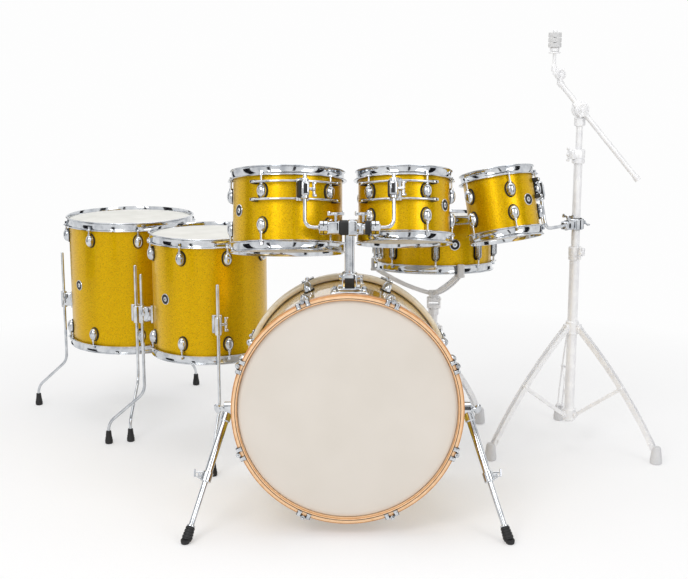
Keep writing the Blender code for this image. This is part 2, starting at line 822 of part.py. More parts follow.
def build_arm(name, side, arm_x, frame_turn):
    """An L-rod: level in the cross head, then up along the tom's axis."""
    mouth = Vector((HOLDER_X + side * HEAD_WIDTH / 2, HOLDER_Y, HEAD_Z))
    inner = mouth - Vector((side * ARM_INSERT, 0, 0))
    corner = Vector((arm_x, HOLDER_Y, HEAD_Z))
    tip = corner + frame_turn @ UP * ARM_HEIGHT
    arm = bmesh.new()
    bent_rod(arm, rounded([inner, corner, tip], ARM_BEND), ARM_RADIUS)
    solid(name, arm, CHROME, KIT, mouth)


# Rack toms


def tom_centre(corner, turn, diameter, angle, drop):
    """The middle of a tom whose mount holds the upright part of an L-rod."""
    return corner - turn @ bearing(angle, diameter / 2 + ARM_STANDOFF, -drop)


def tom_mount(drum, angle, rod_angle):
    """Two bars on pads beside the lugs, the casting that they carry and its bore for the L-rod."""
    radius = drum["diameter"] / 2
    fittings, bore = bmesh.new(), bmesh.new()
    middle = drum["depth"] / 2 - drum["lug_inset"]
    past_lug = asin((LUG_WIDTH + MOUNT_PAD_WIDTH) / 2 / radius)
    half_span = 180 / drum["lugs"] + degrees(past_lug)
    foot = root_radius(radius)
    for height in (middle - MOUNT_BAR_SPAN / 2, middle + MOUNT_BAR_SPAN / 2):
        turns = [angle + half_span * step / 4 for step in range(-4, 5)]
        route = [bearing(turn, radius + MOUNT_BAR_STANDOFF, height) for turn in turns]
        bent_rod(fittings, route, MOUNT_BAR_RADIUS)
        for turn in (turns[0], turns[-1]):
            pad = bearing(turn, (foot + radius + MOUNT_BAR_STANDOFF) / 2, height)
            size = (MOUNT_PAD_WIDTH, radius + MOUNT_BAR_STANDOFF - foot, MOUNT_PAD_WIDTH)
            block(fittings, pad, size, facing(turn))
    near = radius + MOUNT_BAR_STANDOFF - MOUNT_BAR_RADIUS
    far = radius + ARM_STANDOFF + ARM_RADIUS + MOUNT_WALL
    centre = bearing(rod_angle, (near + far) / 2, middle)
    block(fittings, centre, (MOUNT_WIDTH, far - near, MOUNT_HEIGHT), facing(rod_angle))
    rod = bearing(rod_angle, radius + ARM_STANDOFF)
    bar(bore, rod, rod + UP * drum["depth"], bore_size(ARM_RADIUS), BORE_SIDES)
    return fittings, bore


def merged(*shapes):
    """All of the shapes in one bmesh."""
    whole = bmesh.new()
    for shape in shapes:
        mesh = bpy.data.meshes.new("shape")
        shape.to_mesh(mesh)
        shape.free()
        whole.from_mesh(mesh)
        bpy.data.meshes.remove(mesh)
    return whole


def build_tom(name, drum, centre, turn, mount_angle, rod_angle):
    frame = drum_frame(name, centre, turn)
    mount, bore = tom_mount(drum, mount_angle, rod_angle)
    dress_drum(name, drum, frame, merged(lugs(drum), mount), bore)


def build_rack_tom(name, side, drum, turn, arm_x, drop, mount_angle, rod_angle):
    """A tom on the cross head and the L-rod that carries it."""
    corner = Vector((arm_x, HOLDER_Y, HEAD_Z))
    centre = tom_centre(corner, turn, drum["diameter"], rod_angle, drop)
    build_tom(name, drum, centre, turn, mount_angle, rod_angle)
    build_arm("tom_arm_left" if side < 0 else "tom_arm_right", side, arm_x, turn)


def build_rack_toms():
    drum = drum_sizes(TOM_12_DIAMETER, TOM_12_DEPTH, TOM_LUGS, TOM_12_FIRST_LUG, RACK_LUG_INSET)
    bearings = (MOUNT_12_BEARING, ARM_12_BEARING)
    build_rack_tom("tom_12", -1, drum, lean_turn(TOM_12_LEAN), ARM_12_X, ARM_12_DROP, *bearings)
    drum = drum_sizes(TOM_10_DIAMETER, TOM_10_DEPTH, TOM_LUGS, TOM_10_FIRST_LUG, RACK_LUG_INSET)
    bearings = (MOUNT_10_BEARING, ARM_10_BEARING)
    build_rack_tom("tom_10", 1, drum, lean_turn(TOM_10_LEAN), ARM_10_X, ARM_10_DROP, *bearings)


def build_small_tom():
    """The 8 in tom and the clamp on the boom stand that carries it."""
    turn = lean_turn(TOM_8_LEAN, TOM_8_SIDE_LEAN)
    offset = turn @ bearing(ARM_8_BEARING, TOM_8_DIAMETER / 2 + ARM_STANDOFF, -ARM_8_DROP)
    centre = Vector((TOM_8_X, TOM_8_Y, TOM_CLAMP_Z - offset.z))
    drum = drum_sizes(TOM_8_DIAMETER, TOM_8_DEPTH, TOM_LUGS, TOM_8_FIRST_LUG, RACK_LUG_INSET)
    build_tom("tom_8", drum, centre, turn, ARM_8_BEARING, ARM_8_BEARING)

    corner = centre + offset
    stand = Vector((BOOM_STAND_X, BOOM_STAND_Y, TOM_CLAMP_Z))
    out = (corner - stand).normalized()
    clamp, arm, bore = bmesh.new(), bmesh.new(), bmesh.new()
    half = UP * TOM_CLAMP_HEIGHT / 2
    bar(clamp, stand - half, stand + half, TOM_CLAMP_RADIUS, 12)
    turn_out = Matrix((out.cross(UP), out, UP)).transposed()
    near, far = TOM_CLAMP_RADIUS - TOM_CLAMP_LAP, TOM_CLAMP_RADIUS + TOM_CLAMP_BLOCK_REACH
    middle = stand + out * (near + far) / 2
    block(arm, middle, (TOM_CLAMP_BLOCK, far - near, TOM_CLAMP_BLOCK), turn_out)
    knob = stand - out * (TOM_CLAMP_RADIUS - TOM_CLAMP_KNOB_LAP)
    bar(arm, knob, knob - out * TOM_CLAMP_KNOB_LENGTH, TOM_CLAMP_KNOB_RADIUS)
    start = stand + out * (near + far) / 2
    route = rounded([start, corner, corner + turn @ UP * ARM_8_HEIGHT], ARM_BEND)
    rod = bmesh.new()
    bent_rod(rod, route, ARM_RADIUS)
    bar(bore, stand - half * 2, stand + half * 2, bore_size(MIDDLE_TUBE_RADIUS), BORE_SIDES)
    solid("tom_clamp", clamp, CHROME, KIT, stand, merged(arm, rod), bore)


# Floor toms


def leg_rod_radius(diameter):
    return diameter / 2 + LEG_STANDOFF


def build_leg(name, frame, drum, angle, floor):
    """A leg: up past its bracket, a knee and an ankle below it, and a rubber foot."""
    upright = bearing(angle, leg_rod_radius(drum["diameter"]), floor)
    foot = upright + bearing(angle + LEG_TURN, LEG_SPREAD)
    knee = upright + UP * LEG_KNEE
    corners = [foot + UP * FOOT_HEIGHT / 2, foot + UP * LEG_ANKLE, knee, upright + UP * LEG_LENGTH]
    leg, pad = bmesh.new(), bmesh.new()
    bent_rod(leg, rounded(corners, LEG_BEND), LEG_RADIUS)
    bar(pad, foot, foot + UP * FOOT_HEIGHT, FOOT_RADIUS, 8, FOOT_TOP_RADIUS)
    solid(name, leg, CHROME, frame, knee, pad)


def leg_brackets(drum, angles, height):
    """The castings that hold the legs and their bores."""
    radius = drum["diameter"] / 2
    brackets, bores = bmesh.new(), bmesh.new()
    near = root_radius(radius)
    far = leg_rod_radius(drum["diameter"]) + LEG_RADIUS + LEG_BRACKET_WALL
    for angle in angles:
        centre = bearing(angle, (near + far) / 2, height)
        size = (LEG_BRACKET_WIDTH, far - near, LEG_BRACKET_HEIGHT)
        block(brackets, centre, size, facing(angle))
        rod = bearing(angle, leg_rod_radius(drum["diameter"]), height)
        half = UP * LEG_BRACKET_HEIGHT
        bar(bores, rod - half, rod + half, bore_size(LEG_RADIUS), BORE_SIDES)
    return brackets, bores


def build_floor_tom(name, drum, place, angles, bracket):
    top = place[2]
    centre = Vector((place[0], place[1], top - HOOP_RISE - drum["depth"] / 2))
    frame = drum_frame(name, centre, Matrix.Identity(3))
    brackets, bores = leg_brackets(drum, angles, bracket - centre.z)
    dress_drum(name, drum, frame, merged(lugs(drum), brackets), bores)
    for number, angle in enumerate(angles, 1):
        build_leg(f"{name}_leg_{number}", frame, drum, angle, -centre.z)


def build_floor_toms():
    first, inset = FLOOR_16_FIRST_LUG, FLOOR_LUG_INSET
    drum = drum_sizes(FLOOR_16_DIAMETER, FLOOR_16_DEPTH, FLOOR_LUGS, first, inset)
    place = (FLOOR_16_X, FLOOR_16_Y, FLOOR_16_TOP)
    build_floor_tom("floor_tom_16", drum, place, FLOOR_16_LEGS, FLOOR_16_BRACKET)
    first = FLOOR_14_FIRST_LUG
    drum = drum_sizes(FLOOR_14_DIAMETER, FLOOR_14_DEPTH, FLOOR_LUGS, first, inset)
    place = (FLOOR_14_X, FLOOR_14_Y, FLOOR_14_TOP)
    build_floor_tom("floor_tom_14", drum, place, FLOOR_14_LEGS, FLOOR_14_BRACKET)


# Snare drum


def snare_fittings(drum):
    """The strainer's body and the butt plate opposite it."""
    shape = bmesh.new()
    radius = drum["diameter"] / 2
    near = root_radius(radius)
    for angle, depth in ((STRAINER_BEARING, STRAINER_DEPTH), (STRAINER_BEARING + 180, BUTT_DEPTH)):
        far = radius + depth
        centre = bearing(angle, (near + far) / 2, -STRAINER_DROP)
        block(shape, centre, (STRAINER_WIDTH, far - near, STRAINER_HEIGHT), facing(angle))
    return shape


def build_lever(frame, drum):
    """The strainer's lever, which pivots at its foot."""
    near = drum["diameter"] / 2 + STRAINER_DEPTH + GAP
    bottom = -STRAINER_DROP - STRAINER_HEIGHT / 2
    middle = near + LEVER_THICKNESS / 2
    pivot = bearing(STRAINER_BEARING, middle, bottom + LEVER_THICKNESS / 2)
    turn = facing(STRAINER_BEARING)
    centre = pivot + UP * LEVER_LENGTH / 2
    lever, eye = bmesh.new(), bmesh.new()
    block(lever, centre, (LEVER_WIDTH, LEVER_THICKNESS, LEVER_LENGTH), turn)
    half = turn.col[0] * LEVER_EYE_WIDTH / 2
    bar(eye, pivot - half, pivot + half, LEVER_THICKNESS / 2)
    solid("snare_strainer_lever", lever, CHROME, frame, pivot, eye)


def build_wires(frame, drum):
    """Two end plates joined by the strands that lie across the lower head."""
    height = -(drum["depth"] / 2 + GAP + HEAD_THICKNESS + GAP + WIRE_RADIUS)
    turn = facing(STRAINER_BEARING)
    plates, strands = bmesh.new(), bmesh.new()
    for side in (-1, 1):
        centre = turn @ Vector((0, side * (WIRE_LENGTH - WIRE_PLATE) / 2, height))
        size = (WIRE_PITCH * (WIRE_COUNT + 1), WIRE_PLATE, 2 * WIRE_RADIUS)
        block(plates if side > 0 else strands, centre, size, turn)
    for number in range(WIRE_COUNT):
        across = WIRE_PITCH * (number - (WIRE_COUNT - 1) / 2)
        end = Vector((across, WIRE_LENGTH / 2 - WIRE_LAP, height))
        start = Vector((across, -end.y, height))
        bar(strands, turn @ start, turn @ end, WIRE_RADIUS * 0.8, 4)
    solid("snare_wires", plates, STEEL, frame, (0, 0, height), strands)


def build_snare():
    first, inset = SNARE_FIRST_LUG, SNARE_LUG_INSET
    drum = drum_sizes(SNARE_DIAMETER, SNARE_DEPTH, SNARE_LUGS, first, inset, double=True)
    frame = drum_frame("snare", Vector((SNARE_X, SNARE_Y, SNARE_Z)), lean_turn(SNARE_LEAN))
    dress_drum("snare", drum, frame, merged(lugs(drum), snare_fittings(drum)))
    build_lever(frame, drum)
    build_wires(frame, drum)
    build_basket(frame, drum)


# Stands


def ring(shape, centre, bottom, top, radius, sides=10):
    bar(shape, centre + UP * bottom, centre + UP * top, radius, sides)


def tripod(shape, centre, first, spread, hub, collar):
    """A hub, a collar and three strip legs with braces and rubber feet, about an upright."""
    ring(shape, centre, hub - HUB_HEIGHT / 2, hub + HUB_HEIGHT / 2, HUB_RADIUS)
    ring(shape, centre, collar - COLLAR_HEIGHT / 2, collar + COLLAR_HEIGHT / 2, COLLAR_RADIUS)
    for leg in range(3):
        out = bearing(first + 120 * leg)
        across = out.cross(UP)
        top = centre + out * STRIP_OFFSET + UP * hub
        foot = centre + out * spread
        ankle = foot + UP * STAND_ANKLE
        strip(shape, top, ankle, STRIP_WIDTH, STRIP_THICKNESS, across)
        middle = top.lerp(ankle, 0.5)
        start = centre + out * STRIP_OFFSET + UP * collar
        strip(shape, start, middle, BRACE_WIDTH, BRACE_THICKNESS, across)
        tip = foot + UP * STAND_FOOT_HEIGHT
        bar(shape, foot, tip, STAND_FOOT_RADIUS, 8, STAND_FOOT_TOP_RADIUS)


def tube_clamp(shape, centre, top):
    """The height clamp round the upper end of a tube."""
    ring(shape, centre, top - TUBE_CLAMP_LAP, top + TUBE_CLAMP_HEIGHT, TUBE_CLAMP_RADIUS)


def build_boom_stand():
    """The base, the two tubes that slide in it, the boom and the cymbal's seat."""
    floor = Vector((BOOM_STAND_X, BOOM_STAND_Y, 0))
    tube, fittings, bore = bmesh.new(), bmesh.new(), bmesh.new()
    ring(tube, floor, BASE_TUBE_BOTTOM, BASE_TUBE_TOP, BASE_TUBE_RADIUS)
    hub, collar = BOOM_STAND_HUB, BOOM_STAND_COLLAR
    tripod(fittings, floor, BOOM_STAND_BEARING, BOOM_STAND_SPREAD, hub, collar)
    tube_clamp(fittings, floor, BASE_TUBE_TOP)
    low, high = BASE_TUBE_TOP - MIDDLE_TUBE_INSERT, BASE_TUBE_TOP + BORE_OVERRUN
    sleeve = sleeve_size(MIDDLE_TUBE_RADIUS)
    ring(bore, floor, low - MIDDLE_TUBE_TRAVEL, high, sleeve, BORE_SIDES)
    solid("boom_stand_base", tube, SATIN, KIT, floor, fittings, bore)

    tube, fittings, bore = bmesh.new(), bmesh.new(), bmesh.new()
    ring(tube, floor, low, MIDDLE_TUBE_TOP, MIDDLE_TUBE_RADIUS, BORE_SIDES)
    tube_clamp(fittings, floor, MIDDLE_TUBE_TOP)
    low, high = MIDDLE_TUBE_TOP - UPPER_TUBE_INSERT, MIDDLE_TUBE_TOP + BORE_OVERRUN
    sleeve = sleeve_size(UPPER_TUBE_RADIUS)
    ring(bore, floor, low - UPPER_TUBE_TRAVEL, high, sleeve, BORE_SIDES)
    solid("boom_stand_middle_tube", tube, SATIN, KIT, floor, fittings, bore)

    tube, fittings = bmesh.new(), bmesh.new()
    tube_top = MIDDLE_TUBE_TOP + UPPER_TUBE_REACH
    ring(tube, floor, low, tube_top, UPPER_TUBE_RADIUS, BORE_SIDES)
    seat = tube_top - BOOM_SEAT_LAP
    ring(fittings, floor, seat, seat + BOOM_SEAT_HEIGHT, BOOM_SEAT_RADIUS)
    pivot = floor + UP * (tube_top + BOOM_PIVOT_RISE)
    back = Vector((0, BOOM_CLAMP_WIDTH / 2, 0))
    bar(fittings, pivot - back, pivot + back, BOOM_CLAMP_RADIUS, 10)
    solid("boom_stand_upper_tube", tube, SATIN, KIT, floor, fittings)
    build_boom(pivot - Vector((0, BOOM_PIVOT_OFFSET, 0)))


def build_boom(pivot):
    """The boom beside its clamp and the tilter at its high end, with its felts."""
    angle = radians(BOOM_ANGLE)
    down = Vector((cos(angle), 0, -sin(angle)))
    high = pivot - down * BOOM_UPPER_REACH
    eye_back = Vector((0, BOOM_PIVOT_OFFSET - BOOM_CLAMP_WIDTH / 2 - GAP, 0))
    rod, fittings = bmesh.new(), bmesh.new()
    bar(rod, high, pivot + down * BOOM_LOWER_REACH, BOOM_RADIUS)
    bar(fittings, pivot - eye_back, pivot + eye_back, BOOM_EYE_RADIUS, 10)
    raised = high + UP * TILTER_RISE
    eye = Vector((0, TILTER_EYE_REACH, 0))
    bar(fittings, high - UP * BOOM_RADIUS / 2, raised, BOOM_RADIUS)
    bar(fittings, raised - eye, raised + eye, TILTER_RADIUS)
    solid("boom", rod, SATIN, KIT, pivot, fittings)

    half = Vector((0, TILTER_WIDTH / 2, 0))
    hinge = raised - eye - half - Vector((0, GAP, 0))
    base, rod = bmesh.new(), bmesh.new()
    bar(base, hinge - half, hinge + half, TILTER_RADIUS)
    foot = hinge + Vector((TILTER_ROD_SHIFT, 0, 0))
    middle = (hinge + foot) / 2 + UP * TILTER_ARM_RISE
    block(rod, middle, (TILTER_ARM_LENGTH, TILTER_WIDTH, TILTER_ARM_HEIGHT))
    bar(rod, foot + UP * TILTER_ARM_RISE, foot + UP * TILTER_ROD_TOP, TILTER_ROD_RADIUS)
    seat = foot + UP * FELT_BOTTOM
    bar(rod, seat, seat + UP * FELT_HEIGHT, FELT_RADIUS, 12)
    solid("cymbal_tilter", base, SATIN, KIT, hinge, rod)


def build_snare_stand():
    """The tripod under the snare drum; its stem and basket follow the drum."""
    floor = Vector((SNARE_X, SNARE_Y, 0))
    tube, fittings, bore = bmesh.new(), bmesh.new(), bmesh.new()
    ring(tube, floor, SNARE_TUBE_BOTTOM, SNARE_TUBE_TOP, BASE_TUBE_RADIUS)
    hub, collar = SNARE_STAND_HUB, SNARE_STAND_COLLAR
    tripod(fittings, floor, SNARE_STAND_BEARING, SNARE_STAND_SPREAD, hub, collar)
    tube_clamp(fittings, floor, SNARE_TUBE_TOP)
    low, high = SNARE_TUBE_TOP - SNARE_STEM_INSERT, SNARE_TUBE_TOP + BORE_OVERRUN
    sleeve = sleeve_size(MIDDLE_TUBE_RADIUS)
    ring(bore, floor, low - SNARE_STEM_TRAVEL, high, sleeve, BORE_SIDES)
    solid("snare_stand_base", tube, SATIN, KIT, floor, fittings, bore)

    pivot = basket_pivot()
    stem, yoke = bmesh.new(), bmesh.new()
    base = pivot - UP * YOKE_BASE_DROP
    ring(stem, floor, low, base.z, MIDDLE_TUBE_RADIUS, BORE_SIDES)
    cheek_x = BASKET_HUB_HEIGHT / 2 + GAP + YOKE_WALL / 2
    for side in (-1, 1):
        cheek = pivot + Vector((side * cheek_x, 0, -YOKE_CHEEK_DROP))
        block(yoke, cheek, (YOKE_WALL, YOKE_WIDTH, YOKE_CHEEK_HEIGHT))
    block(yoke, base, (2 * cheek_x + YOKE_WALL, YOKE_BASE_WIDTH, YOKE_BASE_HEIGHT))
    solid("snare_stand_stem", stem, SATIN, KIT, floor, yoke)


def snare_matrix():
    return Matrix.Translation((SNARE_X, SNARE_Y, SNARE_Z)) @ lean_turn(SNARE_LEAN).to_4x4()


def basket_pivot():
    """The basket's hinge, on the upright under the middle of the snare drum."""
    low = snare_matrix() @ Vector((0, 0, -BASKET_DROP))
    return Vector((SNARE_X, SNARE_Y, low.z))


def build_basket(frame, drum):
    """Three arms from the hub to grips that hold the lower hoop."""
    pivot = snare_matrix().inverted() @ basket_pivot()
    radius = drum["diameter"] / 2 + 2 * GAP + COLLAR_WALL + HOOP_WALL + FLANGE_REACH
    seat = -(drum["depth"] / 2 + HOOP_RISE + GAP)
    hub, arms = bmesh.new(), bmesh.new()
    half = Vector((BASKET_HUB_HEIGHT / 2, 0, 0))
    bar(hub, pivot - half, pivot + half, BASKET_HUB_RADIUS, 10)
    for number in range(3):
        angle = GRIP_BEARING + 120 * number
        turn = facing(angle)
        inner = pivot + bearing(angle, BASKET_ARM_START, BASKET_ARM_RISE)
        outer = bearing(angle, radius - GRIP_LAP, seat - GRIP_WALL / 2)
        strip(arms, inner, outer, STRIP_WIDTH, STRIP_THICKNESS, turn.col[0])
        near, far = radius - GRIP_SHELF, radius + GAP + GRIP_WALL
        middle = bearing(angle, (near + far) / 2, seat - GRIP_WALL / 2)
        block(arms, middle, (GRIP_WIDTH, far - near, GRIP_WALL), turn)
        upright = bearing(angle, far - GRIP_WALL / 2, seat - GRIP_WALL + GRIP_HEIGHT / 2)
        block(arms, upright, (GRIP_WIDTH, GRIP_WALL, GRIP_HEIGHT), turn)
    solid("snare_basket", hub, SATIN, frame, pivot, arms)


# The whole kit, moved over the origin


def centre_kit():
    """Puts the origin on the floor under the middle of the kit's bounding box."""
    bpy.context.view_layer.update()
    graph = bpy.context.evaluated_depsgraph_get()
    corners = []
    for thing in PARTS.objects:
        if thing.type == "MESH":
            shown = thing.evaluated_get(graph)
            corners += [shown.matrix_world @ vertex.co for vertex in shown.data.vertices]
    for axis in (0, 1):
        places = [corner[axis] for corner in corners]
        KIT.location[axis] = -(min(places) + max(places)) / 2
    bpy.context.view_layer.update()


clear_scene()
PARTS = new_collection("drum_kit")
HELPERS = new_collection("helpers", hidden=True)
LACQUER = finish("gold_lacquer", (0.69, 0.39, 0.0), 0.25)
CHROME = finish("chrome", (0.8, 0.8, 0.82), 0.12, 1.0)
HEAD_FILM = finish("drum_head", (0.85, 0.83, 0.78), 0.5)
HOOP_WOOD = finish("hoop_wood", (0.68, 0.38, 0.14), 0.35)
SATIN = finish("pale_satin_steel", (0.75, 0.75, 0.76), 0.4, 0.6)
STEEL = finish("snare_steel", (0.6, 0.6, 0.6), 0.3, 1.0)
KIT = empty("kit")
build_bass()
build_spur(-1, "left")
build_spur(1, "right")
build_holder()
build_rack_toms()
build_small_tom()
build_floor_toms()
build_snare()
build_snare_stand()
build_boom_stand()
centre_kit()
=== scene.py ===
"""The looks of a seven-drum kit with its tom holder, snare stand and boom stand."""

from math import asin, cos, degrees, pi, radians, sin

import bmesh
import bpy
from mathutils import Matrix, Vector


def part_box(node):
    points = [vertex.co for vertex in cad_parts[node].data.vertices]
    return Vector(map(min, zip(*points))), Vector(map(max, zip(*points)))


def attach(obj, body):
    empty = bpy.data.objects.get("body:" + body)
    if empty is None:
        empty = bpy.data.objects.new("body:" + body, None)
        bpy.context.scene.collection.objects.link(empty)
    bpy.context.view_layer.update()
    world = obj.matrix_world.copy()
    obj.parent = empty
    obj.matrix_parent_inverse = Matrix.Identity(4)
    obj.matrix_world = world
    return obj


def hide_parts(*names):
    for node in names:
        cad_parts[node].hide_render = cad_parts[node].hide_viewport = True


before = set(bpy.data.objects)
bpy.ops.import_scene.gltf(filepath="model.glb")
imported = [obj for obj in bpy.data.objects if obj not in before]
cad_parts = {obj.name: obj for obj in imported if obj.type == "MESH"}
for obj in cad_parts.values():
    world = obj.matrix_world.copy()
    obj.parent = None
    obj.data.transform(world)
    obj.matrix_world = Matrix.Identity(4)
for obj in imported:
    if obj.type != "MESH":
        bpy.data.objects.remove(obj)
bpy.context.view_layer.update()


# The floor is a white paper sweep under soft lamps; dark cloths give the chrome its bands.
CAMERA_PLACE = (-0.0094, -3.0366, 1.2495)
CAMERA_DIP = 11.333
CAMERA_LENS = 65.43
SENSOR_WIDTH = 36
BASS_CENTRE = Vector((0, 0.23994, 0.31177))
PAPER = ["#F3F3F4", "#F8F8F9"]
PAPER_SIDE = 24
PAPER_LIT = {"From Min": 0.8, "From Max": 2.2, "To Min": 0.35, "To Max": 1.0}
WHITE = (0.985, 0.985, 0.985, 1)
WORLD_LIGHT = 0.6
DARK_CLOTH = ["#1C1C1F", "#28282B"]
CLOTH_DISTANCE = 3.3
CLOTH_TALL = 3.0
CLOTHS = ((13, 0.3), (-34, 0.34), (66, 0.9), (-82, 1.1), (128, 0.7), (-140, 0.7))
LAMP_TARGET = (0, 0, 0.4)
LAMPS = {
    "lamp_left": ((-1.7, -3.3, 3.1), (1.6, 2.2), 62),
    "lamp_right": ((2.6, -3.0, 2.2), (1.4, 2.0), 28),
    "lamp_top": ((0, 0.2, 3.4), (3.2, 2.4), 36),
}


def middle_of(node):
    low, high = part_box(node)
    return (low + high) / 2


KIT = (middle_of("bass_batter_head") + middle_of("bass_resonant_head")) / 2 - BASS_CENTRE


def spot(x, y, z):
    """A place measured from the floor under the middle of the bass drum's front edge."""
    return KIT + Vector((x, y, z))


def linear(code):
    """A colour as on a paint card, turned into the light values that shaders use."""
    parts = [int(code[k : k + 2], 16) / 255 for k in (1, 3, 5)]
    values = [c / 12.92 if c <= 0.04045 else ((c + 0.055) / 1.055) ** 2.4 for c in parts]
    return (*values, 1)


def wire(tree, node, inputs):
    """Links each input to the output given for it, or sets it to the value."""
    for name, value in inputs.items():
        if isinstance(value, bpy.types.NodeSocket):
            tree.links.new(value, node.inputs[name])
        else:
            node.inputs[name].default_value = value


def add(tree, kind, inputs=None, colours=(), span=(0.3, 0.7), **settings):
    """Adds a node with its links and settings, and gives back its first output.

    Colours stand evenly along a colour ramp, between the two levels of the span.
    """
    made = tree.nodes.new(kind)
    for name, value in settings.items():
        setattr(made, name, value)
    if colours:
        stops = made.color_ramp.elements
        while len(stops) < len(colours):
            stops.new(0.5)
        for number, (stop, colour) in enumerate(zip(stops, colours)):
            stop.position = span[0] + (span[1] - span[0]) * number / (len(colours) - 1)
            stop.color = linear(colour)
    wire(tree, made, inputs or {})
    return made.outputs[0] if made.outputs else made


def new_material(name, plain):
    """A material with plain values in its shader, and its tree for what varies."""
    made = bpy.data.materials.new(name)
    made.use_nodes = True
    tree = made.node_tree
    shader = tree.nodes["Principled BSDF"]
    wire(tree, shader, plain)
    return made, tree, shader


def patterned(name, plain, colours, tone, gloss=(), bumps=(), stretch=None):
    """A material whose colour, gloss and bumps follow noises, each of a scale and detail.

    Gloss adds the least and the most roughness, and bumps a strength and a depth.
    With a stretch the noises follow the piece's own map, which is in metres.
    """
    made, tree, shader = new_material(name, plain)
    if stretch:
        place = add(tree, "ShaderNodeUVMap")
        place = add(tree, "ShaderNodeMapping", {"Vector": place, "Scale": stretch})
    else:
        place = add(tree, "ShaderNodeTexCoord").node.outputs["Object"]
    noises = {}
    for pattern in (tone, gloss[:2], bumps[:2]):
        if pattern and pattern not in noises:
            inputs = {"Vector": place, "Scale": pattern[0], "Detail": pattern[1]}
            noises[pattern] = add(tree, "ShaderNodeTexNoise", inputs)
    varied = {"Base Color": add(tree, "ShaderNodeValToRGB", {"Fac": noises[tone]}, colours)}
    if gloss:
        inputs = {"Value": noises[gloss[:2]], "To Min": gloss[2], "To Max": gloss[3]}
        varied["Roughness"] = add(tree, "ShaderNodeMapRange", inputs)
    if bumps:
        inputs = {"Height": noises[bumps[:2]], "Strength": bumps[2], "Distance": bumps[3]}
        varied["Normal"] = add(tree, "ShaderNodeBump", inputs)
    wire(tree, shader, varied)
    return made


def seen(tree):
    """1 for what the eye sees directly, in a mirror or through glass, and 0 for light."""
    paths = add(tree, "ShaderNodeLightPath").node.outputs
    both = add(tree, "ShaderNodeMath", {0: paths["Is Camera Ray"], 1: paths["Is Glossy Ray"]})
    inputs = {0: both, 1: paths["Is Transmission Ray"]}
    return add(tree, "ShaderNodeMath", inputs, use_clamp=True)


def new_object(name, data):
    made = bpy.data.objects.new(name, data)
    bpy.context.scene.collection.objects.link(made)
    return made


def aim(thing, target):
    away = thing.location - Vector(target)
    thing.rotation_euler = away.to_track_quat("Z", "Y").to_euler()


def add_sheet(name, place, size, material):
    mesh = bpy.data.meshes.new(name)
    x, y = size[0] / 2, size[1] / 2
    mesh.from_pydata([(-x, -y, 0), (x, -y, 0), (x, y, 0), (-x, y, 0)], [], [(0, 1, 2, 3)])
    mesh.materials.append(material)
    sheet = new_object(name, mesh)
    sheet.location = place
    return sheet


def bearing(angle, radius=1.0, height=0.0):
    """A point round an upright: 0 degrees faces the audience, and angles grow to the right."""
    return Vector((radius * sin(radians(angle)), -radius * cos(radians(angle)), height))


paper = patterned("floor_paper", {"Roughness": 0.7}, PAPER, (250.0, 2.0))
tree = paper.node_tree
place = add(tree, "ShaderNodeTexCoord").node.outputs["Object"]
away = add(tree, "ShaderNodeVectorMath", {0: place}, operation="LENGTH").node.outputs["Value"]
share = add(tree, "ShaderNodeMapRange", {"Value": away, **PAPER_LIT})
share = add(tree, "ShaderNodeMath", {0: share, 1: seen(tree)}, operation="MULTIPLY")
glow = add(tree, "ShaderNodeEmission", {"Color": WHITE, "Strength": 1.0})
inputs = {0: share, 1: tree.nodes["Principled BSDF"].outputs[0], 2: glow}
surface = add(tree, "ShaderNodeMixShader", inputs)
wire(tree, tree.nodes["Material Output"], {"Surface": surface})
add_sheet("floor", (0, 0, 0), (PAPER_SIDE, PAPER_SIDE), paper)

# Cloth: matt, with 2.5 mm patches of uneven dye; only the chrome shows it.
plain = {"Roughness": 1.0, "Specular IOR Level": 0.0}
cloth = patterned("dark_cloth", plain, DARK_CLOTH, (400.0, 2.0))
screens = [add_sheet("cloth_canopy", (0, -2.3, 3.2), (5.0, 0.8), cloth)]
for number, (angle, width) in enumerate(CLOTHS):
    place = bearing(angle, CLOTH_DISTANCE, CLOTH_TALL / 2)
    screens.append(add_sheet(f"cloth_{number}", place, (width, CLOTH_TALL), cloth))
    aim(screens[-1], (0, 0, CLOTH_TALL / 2))
for screen in screens:
    screen.visible_camera = screen.visible_shadow = screen.visible_diffuse = False

for name, (place, size, power) in LAMPS.items():
    light = bpy.data.lights.new(name, "AREA")
    light.shape, light.energy = "RECTANGLE", power
    light.size, light.size_y = size
    lamp = new_object(name, light)
    lamp.location = place
    aim(lamp, LAMP_TARGET)

world = bpy.data.worlds.new("studio")
world.use_nodes = True
bpy.context.scene.world = world
tree = world.node_tree
inputs = {"Value": seen(tree), "To Min": WORLD_LIGHT, "To Max": 1.0}
strength = add(tree, "ShaderNodeMapRange", inputs)
wire(tree, tree.nodes["Background"], {"Color": WHITE, "Strength": strength})

camera = new_object("camera", bpy.data.cameras.new("camera"))
camera.location = spot(*CAMERA_PLACE)
camera.rotation_euler = (radians(90 - CAMERA_DIP), 0, 0)
camera.data.lens = CAMERA_LENS
camera.data.sensor_width = SENSOR_WIDTH
bpy.context.scene.camera = camera
bpy.context.scene.view_settings.view_transform = "Standard"


